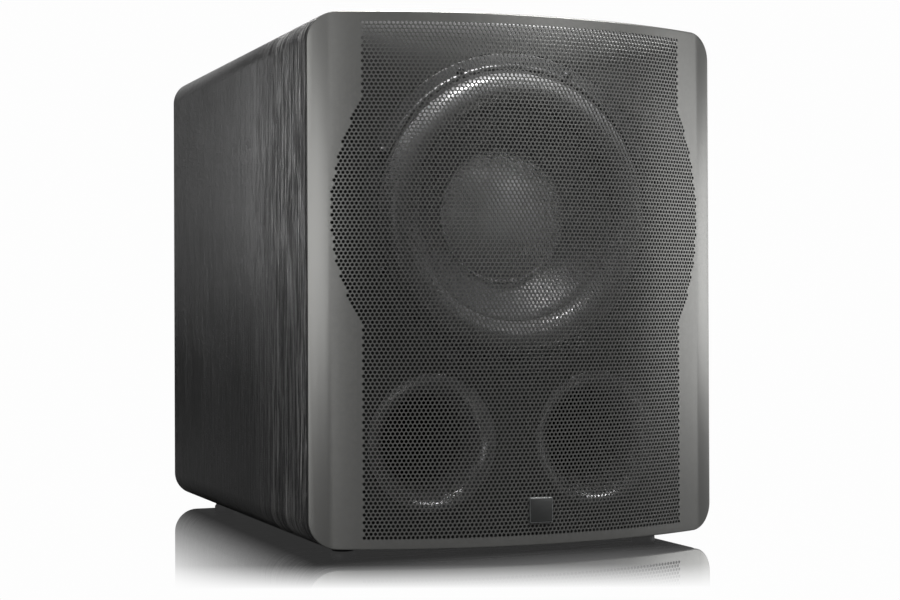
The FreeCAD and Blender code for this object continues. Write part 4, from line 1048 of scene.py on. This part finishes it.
def build_port(label):
    x, z = middle_of("port_flare_" + label)
    centre = Vector((x, FRONT, z))
    grow = PORT_MOUTH - 0.6 * MM - PORT_RADIUS
    steps = 28
    inner = []
    for i in range(steps + 1):
        angle = math.pi / 2 * i / steps
        r = PORT_RADIUS + grow * (1 - math.sin(angle))
        d = PORT_FLARE * (1 - math.cos(angle))
        inner.append((r, d))
    tail = [(PORT_RADIUS, PORT_FLARE + MM), (PORT_RADIUS + 3 * MM, PORT_FLARE + MM)]
    deepest, widest = PORT_FLARE - 6 * MM, PORT_MOUTH - 9 * MM
    outer = [(r + FLARE_WALL, d + FLARE_WALL) for r, d in inner[::-1] if d < deepest and r < widest]
    lip = [(PORT_MOUTH - 7.2 * MM, 4 * MM), (PORT_MOUTH, 4 * MM), (PORT_MOUTH, 0.8 * MM),
           (PORT_MOUTH - 0.2 * MM, 0.25 * MM)]
    flare = turned(f"flare_{label}", inner + tail + outer + lip, centre, segments=192, sharp=50.0)
    # The flares wear the brighter copy of the port plastic: a painted highlight.
    fit(flare, "cabinet", FLARE_PLASTIC_LIT_COPY, "black_plastic", "port_flare_" + label)


# ---- the parts that cross from the frame to the moving cone ------------------------------
SPIDER_INNER, SPIDER_OUTER, SPIDER_DEPTH = 38.5 * MM, 108 * MM, 88 * MM
SPIDER_WAVE, SPIDER_ROLLS, SPIDER_LIP, CLOTH_WALL = 4 * MM, 6, 5 * MM, 1.2 * MM


def build_spider():
    """The corrugated cloth disc, glued to the coil former inside and to the frame's ledge outside."""
    start, end = SPIDER_INNER + SPIDER_LIP, SPIDER_OUTER - SPIDER_LIP
    steps = SPIDER_ROLLS * 12
    front = [(SPIDER_INNER, SPIDER_DEPTH - CLOTH_WALL / 2)]
    for i in range(steps + 1):
        t = i / steps
        lift = SPIDER_WAVE * math.sin(2 * math.pi * SPIDER_ROLLS * t)
        front.append((start + (end - start) * t, SPIDER_DEPTH - CLOTH_WALL / 2 + lift))
    front.append((SPIDER_OUTER, SPIDER_DEPTH - CLOTH_WALL / 2))
    back = [(r, d + CLOTH_WALL) for r, d in front[::-1]]
    spider = turned("cloth_spider", front + back, WOOFER_CENTRE, segments=128, sharp=60.0)
    look_of(spider, CLOTH, "woofer_spider")
    radial_blend(spider)


def tube_along(name, routes, radius):
    """Round tubes on smooth curves through the routes' points, as one mesh."""
    curve = bpy.data.curves.new(name + "_line", "CURVE")
    curve.dimensions = "3D"
    curve.bevel_depth = radius
    curve.bevel_resolution = 4
    curve.resolution_u = 10
    curve.use_fill_caps = True
    for route in routes:
        spline = curve.splines.new("NURBS")
        spline.points.add(len(route) - 1)
        for point, place in zip(spline.points, route):
            point.co = (place[0], place[1], place[2], 1.0)
        spline.order_u = 3
        spline.use_endpoint_u = True
    holder = put(name + "_holder", curve)
    bpy.context.view_layer.update()
    mesh = bpy.data.meshes.new_from_object(holder.evaluated_get(bpy.context.evaluated_depsgraph_get()))
    bpy.data.objects.remove(holder)
    mesh.name = name
    return finished(name, mesh, 60.0)


def build_tinsel_leads():
    """Two braided leads from the terminal posts to the back of the cone."""
    low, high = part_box("tinsel_leads")
    side = high.x - 1.1 * MM
    post = high.z - 1.1 * MM
    land = low.z + 0.9 * MM
    back, front = high.y, low.y + 1.1 * MM
    routes = []
    for x in (-side, side):
        routes.append([
            (x, back, post), (x, back - 8 * MM, post), (x, back - 12 * MM, post - 22 * MM),
            (x, front + 16 * MM, land + 26 * MM), (x, front + 9 * MM, land + 6 * MM), (x, front, land),
        ])
    leads = tube_along("braided_leads", routes, 1.05 * MM)
    look_of(leads, COPPER, "tinsel_leads")
    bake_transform(leads)


# ---- amplifier face ------------------------------------------------------------------------
DIALS = ("volume", "lowpass", "phase")
KNOB_FLUTES, FLUTE_DEPTH = 20, 0.75
KNOB_ROWS = (  # radius, height, share of the flute's depth, in mm
    (5.2, 3.2, 0), (5.2, 0.8, 0), (10.6, 0.8, 0), (11.0, 1.1, 0), (11.0, 2.4, 0.15), (10.95, 3.2, 1.0),
    (10.8, 10.4, 1.0), (10.5, 11.2, 0.8), (9.7, 11.8, 0.3), (8.6, 12.0, 0), (8.0, 11.85, 0), (1.2, 11.7, 0),
)


def knob_mesh():
    """A knob with soft flutes round its side, its seat at the origin and its axis along +Z."""
    segments = KNOB_FLUTES * 8
    corners, faces = [], []
    for r, z, flute in KNOB_ROWS:
        for k in range(segments):
            angle = 2 * math.pi * k / segments
            dip = FLUTE_DEPTH * flute * (0.5 + 0.5 * math.cos(KNOB_FLUTES * angle)) ** 2
            reach = (r - dip) * MM
            corners.append((reach * math.cos(angle), reach * math.sin(angle), z * MM))
    count = len(KNOB_ROWS)
    for i in range(count - 1):
        faces += band(i * segments, (i + 1) * segments, segments)
    faces.append(tuple(range(segments))[::-1])
    faces.append(tuple(range((count - 1) * segments, count * segments)))
    return corners, faces


def build_knobs():
    corners, faces = knob_mesh()
    for label in DIALS:
        x, z = middle_of(label + "_knob")
        placed = [(x - cx, PANEL_FACE + cz, z + cy) for cx, cy, cz in corners]
        knob = mesh_piece(f"{label}_fluted_knob", placed, faces, sharp=40.0)
        fit(knob, label + "_dial", MOULDED, "black_plastic", label + "_knob")
        shaft_outline = [(0.0, -8 * MM), (3.0 * MM, -8 * MM), (3.0 * MM, 5 * MM), (0.0, 5 * MM)]
        shaft = turned(f"{label}_shaft", shaft_outline, Vector((x, PANEL_FACE, z)), segments=32)
        fit(shaft, label + "_dial", STEEL, "black_plastic")
        mark = plate(f"{label}_pointer", 0.55 * MM, 3.6 * MM, 0.4 * MM, PANEL_FACE + 11.4 * MM,
                     PANEL_FACE + 11.95 * MM, x, z + 6.0 * MM, 0.1 * MM, steps=3)
        fit(mark, label + "_dial", WHITE_INSERT, "black_plastic")


def dial_ticks_tree():
    """Short lines on an arc round a point, from one stop of a dial to the other."""
    sizes = {"Tick Radius": 14.5 * MM, "Sweep": math.radians(300), "Tick Length": 2.0 * MM,
             "Tick Width": 0.5 * MM, "Tick Height": 0.1 * MM}
    n, given, out = geometry_tree("dial_ticks", [(key, "Float", value) for key, value in sizes.items()]
                                  + [("Tick Count", "Int", 11), ("Centre", "Vector", (0, 0, 0))])
    index = n.out("GeometryNodeInputIndex")
    share = n.over(index, n.minus(given["Tick Count"], 1.0))
    angle = n.times(n.minus(share, 0.5), given["Sweep"])
    x = n.times(n.math("SINE", angle), given["Tick Radius"])
    z = n.times(n.math("COSINE", angle), given["Tick Radius"])
    spot = n.out("ShaderNodeCombineXYZ", {"X": x, "Z": z})
    place = n.out("ShaderNodeVectorMath", {0: spot, 1: given["Centre"]}, operation="ADD")
    points = n.out("GeometryNodePoints", {"Count": given["Tick Count"], "Position": place})
    across, out_of_plate, along = given["Tick Width"], given["Tick Height"], given["Tick Length"]
    size = n.out("ShaderNodeCombineXYZ", {"X": across, "Y": out_of_plate, "Z": along})
    bar = n.add("GeometryNodeMeshCube", {"Size": size}).outputs["Mesh"]
    turn = n.out("ShaderNodeCombineXYZ", {"Y": angle})
    laid = n.out("GeometryNodeInstanceOnPoints", {"Points": points, "Instance": bar, "Rotation": turn})
    return made_real(n, laid, given, out)


def build_dial_ticks():
    tree = dial_ticks_tree()
    for label in DIALS:
        x, z = middle_of(label + "_knob")
        centre = (x, PANEL_FACE + 0.03 * MM, z)
        empty = bpy.data.meshes.new("ticks")
        ticks = grown(f"{label}_ticks", tree, empty, Centre=centre, Finish=WHITE_INSERT)
        fit(ticks, "cabinet", None, "white_plastic")


JACK_STEPS = (0, 26, 62, 88)
JACK_BARREL = (  # radius, distance, rounding, in mm
    (3.0, 1.0, 0), (4.6, 1.0, 0), (4.6, 2.6, 0.3), (4.15, 3.0, 0.2), (4.15, 9.8, 0.5), (3.75, 10.6, 0.3),
    (3.0, 10.6, 0.3),
)
JACK_NUT = ((3.0, 0.0), (6.3, 0.0), (7.15, 0.25), (7.15, 1.3), (6.3, 1.6), (3.0, 1.6))


def build_jacks():
    """Gold barrels on six-sided nuts, each round a coloured insert."""
    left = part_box("line_jack_shells")[0].x + 7.2 * MM
    z = middle_of("line_jack_shells")[1]
    outline = soft_outline([(r * MM, d * MM, f * MM) for r, d, f in JACK_BARREL], 3)
    nut = [(r * MM, d * MM) for r, d in JACK_NUT]
    for i, step in enumerate(JACK_STEPS):
        centre = Vector((left + step * MM, PANEL_FACE, z))
        shell = turned(f"jack_barrel_{i + 1}", outline, centre, segments=64)
        fit(shell, "cabinet", GOLD, "gold", *(["line_jack_shells"] if i == 0 else []))
        hexagon = turned(f"jack_nut_{i + 1}", nut, centre, segments=6, sharp=20.0)
        fit(hexagon, "cabinet", NICKEL, "gold")


def build_amp_screws():
    low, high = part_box("amp_screws")
    head = 3.8 * MM
    across, up = high.x - head, (high.z - low.z) / 2 - head
    z_mid = middle_of("amp_screws")[1]
    spots = [(side, row) for side in (-1, 1) for row in (-1, -0.34, 0.34, 1)] + [(0, -1), (0, 1)]
    places = [Vector((side * across, PANEL_FACE, z_mid + row * up)) for side, row in spots]
    one = screw_mesh("bolt", head, 2.35 * MM, 3.2 * MM)
    screws = scatter("amp_bolts", places, one, (0, 1, 0), BLACK_SCREW, seed=19)
    fit(screws, "cabinet", None, "black_steel", "amp_screws")


# ---- stage, light and camera -----------------------------------------------------------
CAMERA_YAW, CAMERA_PITCH, CAMERA_ROLL = (math.radians(a) for a in (21.64, 0.33, -0.24))
CAMERA_LENS = 71.37
CAMERA_PLACE = Vector((-0.7644, SHEET_EDGE - 1.7339, FLOOR_GAP + 0.2421))
POLISH_REACH = 0.45
POLISH_LINE = CAMERA_PLACE.x * math.sin(CAMERA_YAW) + CAMERA_PLACE.y * math.cos(CAMERA_YAW) + 1.619
POLISH_RAMP, RAMP_CURVE = 0.150, 0.9
POLISH_STRENGTH, POLISH_CURVE = 0.8, 2.2
FLOOR_REACH, FLOOR_BOUNCE, WHITE = 40.0, (0.055, 0.055, 0.055), (0.985, 0.985, 0.985)
STAGE_MIDDLE = Vector((0, 0, 0.30))
BACKDROP_MIDDLE, BACKDROP_HALF = 24.0, 22.0
ROOM_LIGHT = 0.03
SOFT_PANELS = (
    # name, azimuth, elevation, distance, width, height, power
    ("left_panel", -45, 3, 2.6, 0.8, 1.0, 10),
    ("left_rear_panel", -125, 40, 2.6, 0.8, 0.8, 1.2),
    ("right_panel", 65, 4, 2.6, 0.8, 0.9, 5),
    ("right_edge_panel", 85, 0, 2.6, 0.8, 0.9, 9),
    ("front_high_panel", 32, 34, 2.4, 1.2, 0.5, 54),
    ("overhead_panel", -8, 76, 2.2, 0.7, 0.7, 115),
    ("high_right_panel", 60, 62, 2.2, 0.7, 0.7, 8),
    ("upper_front_panel", -12, 52, 2.3, 0.5, 0.5, 55),
    ("rear_fill_panel", 165, 40, 2.6, 1.0, 0.8, 25),
)
SHEEN_STRIP = (Vector((-0.86, 0.90, 0.52)), Vector((-0.2325, -0.10, 0.40)), 0.30, 0.42, 1.5)


def build_stage():
    """A white sweep, polished round the box. The polish fades with distance and ends along a line ahead."""
    corners = [(x * FLOOR_REACH, y * FLOOR_REACH, 0) for x, y in ((-1, -1), (1, -1), (1, 1), (-1, 1))]
    floor_mesh = bpy.data.meshes.new("floor")
    floor_mesh.from_pydata(corners, [], [(0, 1, 2, 3)])
    floor = put("floor", floor_mesh)
    material, n, shader, place = surface("white_sweep")
    shader.inputs["Base Color"].default_value = rgb(*FLOOR_BOUNCE)
    shader.inputs["Roughness"].default_value = 0.9
    shader.inputs["Specular IOR Level"].default_value = 0.0
    spot = n.add("ShaderNodeSeparateXYZ", {"Vector": place}).outputs
    look_x, look_y = math.sin(CAMERA_YAW), math.cos(CAMERA_YAW)
    beside = n.over(n.minus(n.math("ABSOLUTE", spot["X"]), HALF_WIDTH), look_x)
    ahead = n.over(n.minus((CREST + SHEET_EDGE) / 2, spot["Y"]), look_y)
    behind = n.minus(spot["Y"], REAR)
    away = n.math("MAXIMUM", n.math("MAXIMUM", beside, n.math("MAXIMUM", ahead, behind)), 0.0)
    near_share = n.minus(1.0, n.over(away, POLISH_REACH), clamp=True)
    along = n.plus(n.times(spot["X"], look_x), n.times(spot["Y"], look_y))
    past_line = n.over(n.minus(along, POLISH_LINE), POLISH_RAMP, clamp=True)
    share = n.times(near_share, n.math("POWER", past_line, RAMP_CURVE))
    clear = n.minus(1.0, n.times(share, POLISH_STRENGTH))
    polish = n.minus(1.0, n.math("POWER", clear, POLISH_CURVE))
    white = n.add("ShaderNodeEmission", {"Color": rgb(*WHITE), "Strength": 1.0})
    mirror = n.add("ShaderNodeBsdfGlossy", {"Color": rgb(1, 1, 1), "Roughness": 0.0})
    seen = n.add("ShaderNodeMixShader", {0: polish, 1: white.outputs[0], 2: mirror.outputs[0]})
    camera_ray = n.add("ShaderNodeLightPath").outputs["Is Camera Ray"]
    mixed = n.add("ShaderNodeMixShader", {0: camera_ray, 1: shader.outputs[0], 2: seen.outputs[0]})
    n.link(mixed.outputs[0], n.tree.nodes["Material Output"].inputs["Surface"])
    dress(floor, material)


def soft_light(name, place, target, width, height, power):
    light = bpy.data.lights.new(name, "AREA")
    light.shape = "RECTANGLE"
    light.size, light.size_y = width, height
    light.energy = power
    obj = put(name, light)
    obj.location = place
    obj.rotation_euler = (Vector(target) - Vector(place)).to_track_quat("-Z", "Y").to_euler()
    obj.visible_camera = False


def build_lights():
    """Soft panels round the box, and a white backdrop behind it."""
    for name, azimuth, elevation, distance, width, height, power in SOFT_PANELS:
        a, e = math.radians(azimuth), math.radians(elevation)
        toward = Vector((math.sin(a) * math.cos(e), -math.cos(a) * math.cos(e), math.sin(e)))
        soft_light(name, STAGE_MIDDLE + distance * toward, STAGE_MIDDLE, width, height, power)
    soft_light("sheen_strip", *SHEEN_STRIP)
    world = bpy.data.worlds.new("white_studio")
    bpy.context.scene.world = world
    world.use_nodes = True
    n = Nodes(world.node_tree)
    direction = n.add("ShaderNodeTexCoord").outputs["Generated"]
    look = n.add("ShaderNodeSeparateXYZ", {"Vector": direction}).outputs
    heading = n.math("ARCTAN2", look["X"], look["Y"])
    off_middle = n.math("ABSOLUTE", n.minus(heading, math.radians(BACKDROP_MIDDLE)))
    inside = n.remap(off_middle, math.radians(BACKDROP_HALF + 8), math.radians(BACKDROP_HALF))
    low_enough = n.remap(look["Z"], 0.45, 0.25)
    backdrop = n.times(inside, low_enough)
    strength = n.plus(n.times(backdrop, 1.0 - ROOM_LIGHT), ROOM_LIGHT)
    lit = n.tree.nodes["Background"]
    lit.inputs["Color"].default_value = rgb(1, 1, 1)
    n.link(strength, lit.inputs["Strength"])
    seen = n.add("ShaderNodeBackground", {"Color": rgb(*WHITE), "Strength": 1.0})
    path = n.add("ShaderNodeLightPath").outputs
    straight = n.math("MAXIMUM", path["Is Camera Ray"], path["Is Singular Ray"])
    mixed = n.add("ShaderNodeMixShader", {0: straight, 1: lit.outputs[0], 2: seen.outputs[0]})
    n.link(mixed.outputs[0], n.tree.nodes["World Output"].inputs["Surface"])


def build_camera():
    """Low in front and to the left, nearly level, a long lens."""
    camera = bpy.data.cameras.new("studio_camera")
    camera.sensor_width = 36.0
    camera.lens = CAMERA_LENS
    obj = put("studio_camera", camera)
    yaw, pitch, roll = CAMERA_YAW, CAMERA_PITCH, CAMERA_ROLL
    forward = Vector((math.sin(yaw) * math.cos(pitch), math.cos(yaw) * math.cos(pitch), math.sin(pitch)))
    right = forward.cross(Vector((0, 0, 1))).normalized()
    up = right.cross(forward)
    across = right * math.cos(roll) + up * math.sin(roll)
    upward = up * math.cos(roll) - right * math.sin(roll)
    turn = Matrix((across, upward, -forward)).transposed().to_4x4()
    obj.matrix_world = Matrix.Translation(CAMERA_PLACE) @ turn
    bpy.context.scene.camera = obj


def dress_cad():
    """Better finishes for the CAD parts that stay in view."""
    finishes = {
        "front_baffle": BAFFLE_PAINT, "back_panel": BAFFLE_PAINT, "window_braces": RAW_BOARD,
        "foot_screws": ZINC, "grille_frame": MOULDED, "grille_studs": MOULDED, "grille_cups": MOULDED,
        "woofer_basket": CASTING,
        "woofer_gasket": FOAM, "coil_former": ALUMINIUM, "voice_coil": COPPER, "magnet_top_plate": STEEL,
        "ferrite_magnets": FERRITE, "magnet_yoke": STEEL, "woofer_terminals": NICKEL, "amp_plate": AMP_PAINT,
        "amp_gasket": FOAM, "amp_chassis": ZINC, "amp_board": CIRCUIT, "amp_heatsink": ALUMINIUM,
        "power_transformer": COPPER, "reservoir_capacitors": MOULDED, "potentiometers": ZINC,
        "mode_switch_housing": ZINC, "mode_slider": WHITE_INSERT, "power_switch_housing": MOULDED,
        "power_rocker": MOULDED, "mains_inlet": MOULDED, "mains_inlet_pins": NICKEL,
        "line_jack_inserts": WHITE_INSERT, "trigger_jack": MOULDED, "status_lens": LENS,
        "speaker_leads": RED_JACKET,
    }
    for label in ("left", "right"):
        for part in ("port_tube_", "port_elbow_", "port_end_flare_"):
            finishes[part + label] = PORT_PLASTIC
    for name, finish in finishes.items():
        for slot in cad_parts[name].material_slots:
            slot.material = finish


build_cabinet()
build_feet()
build_perforated_field()
build_margin()
build_badge()
build_woofer()
build_woofer_screws()
for label in ("left", "right"):
    build_port(label)
build_spider()
build_tinsel_leads()
build_knobs()
build_dial_ticks()
build_jacks()
build_amp_screws()
dress_cad()
build_stage()
build_lights()
build_camera()
bpy.context.scene.view_settings.view_transform = "Standard"
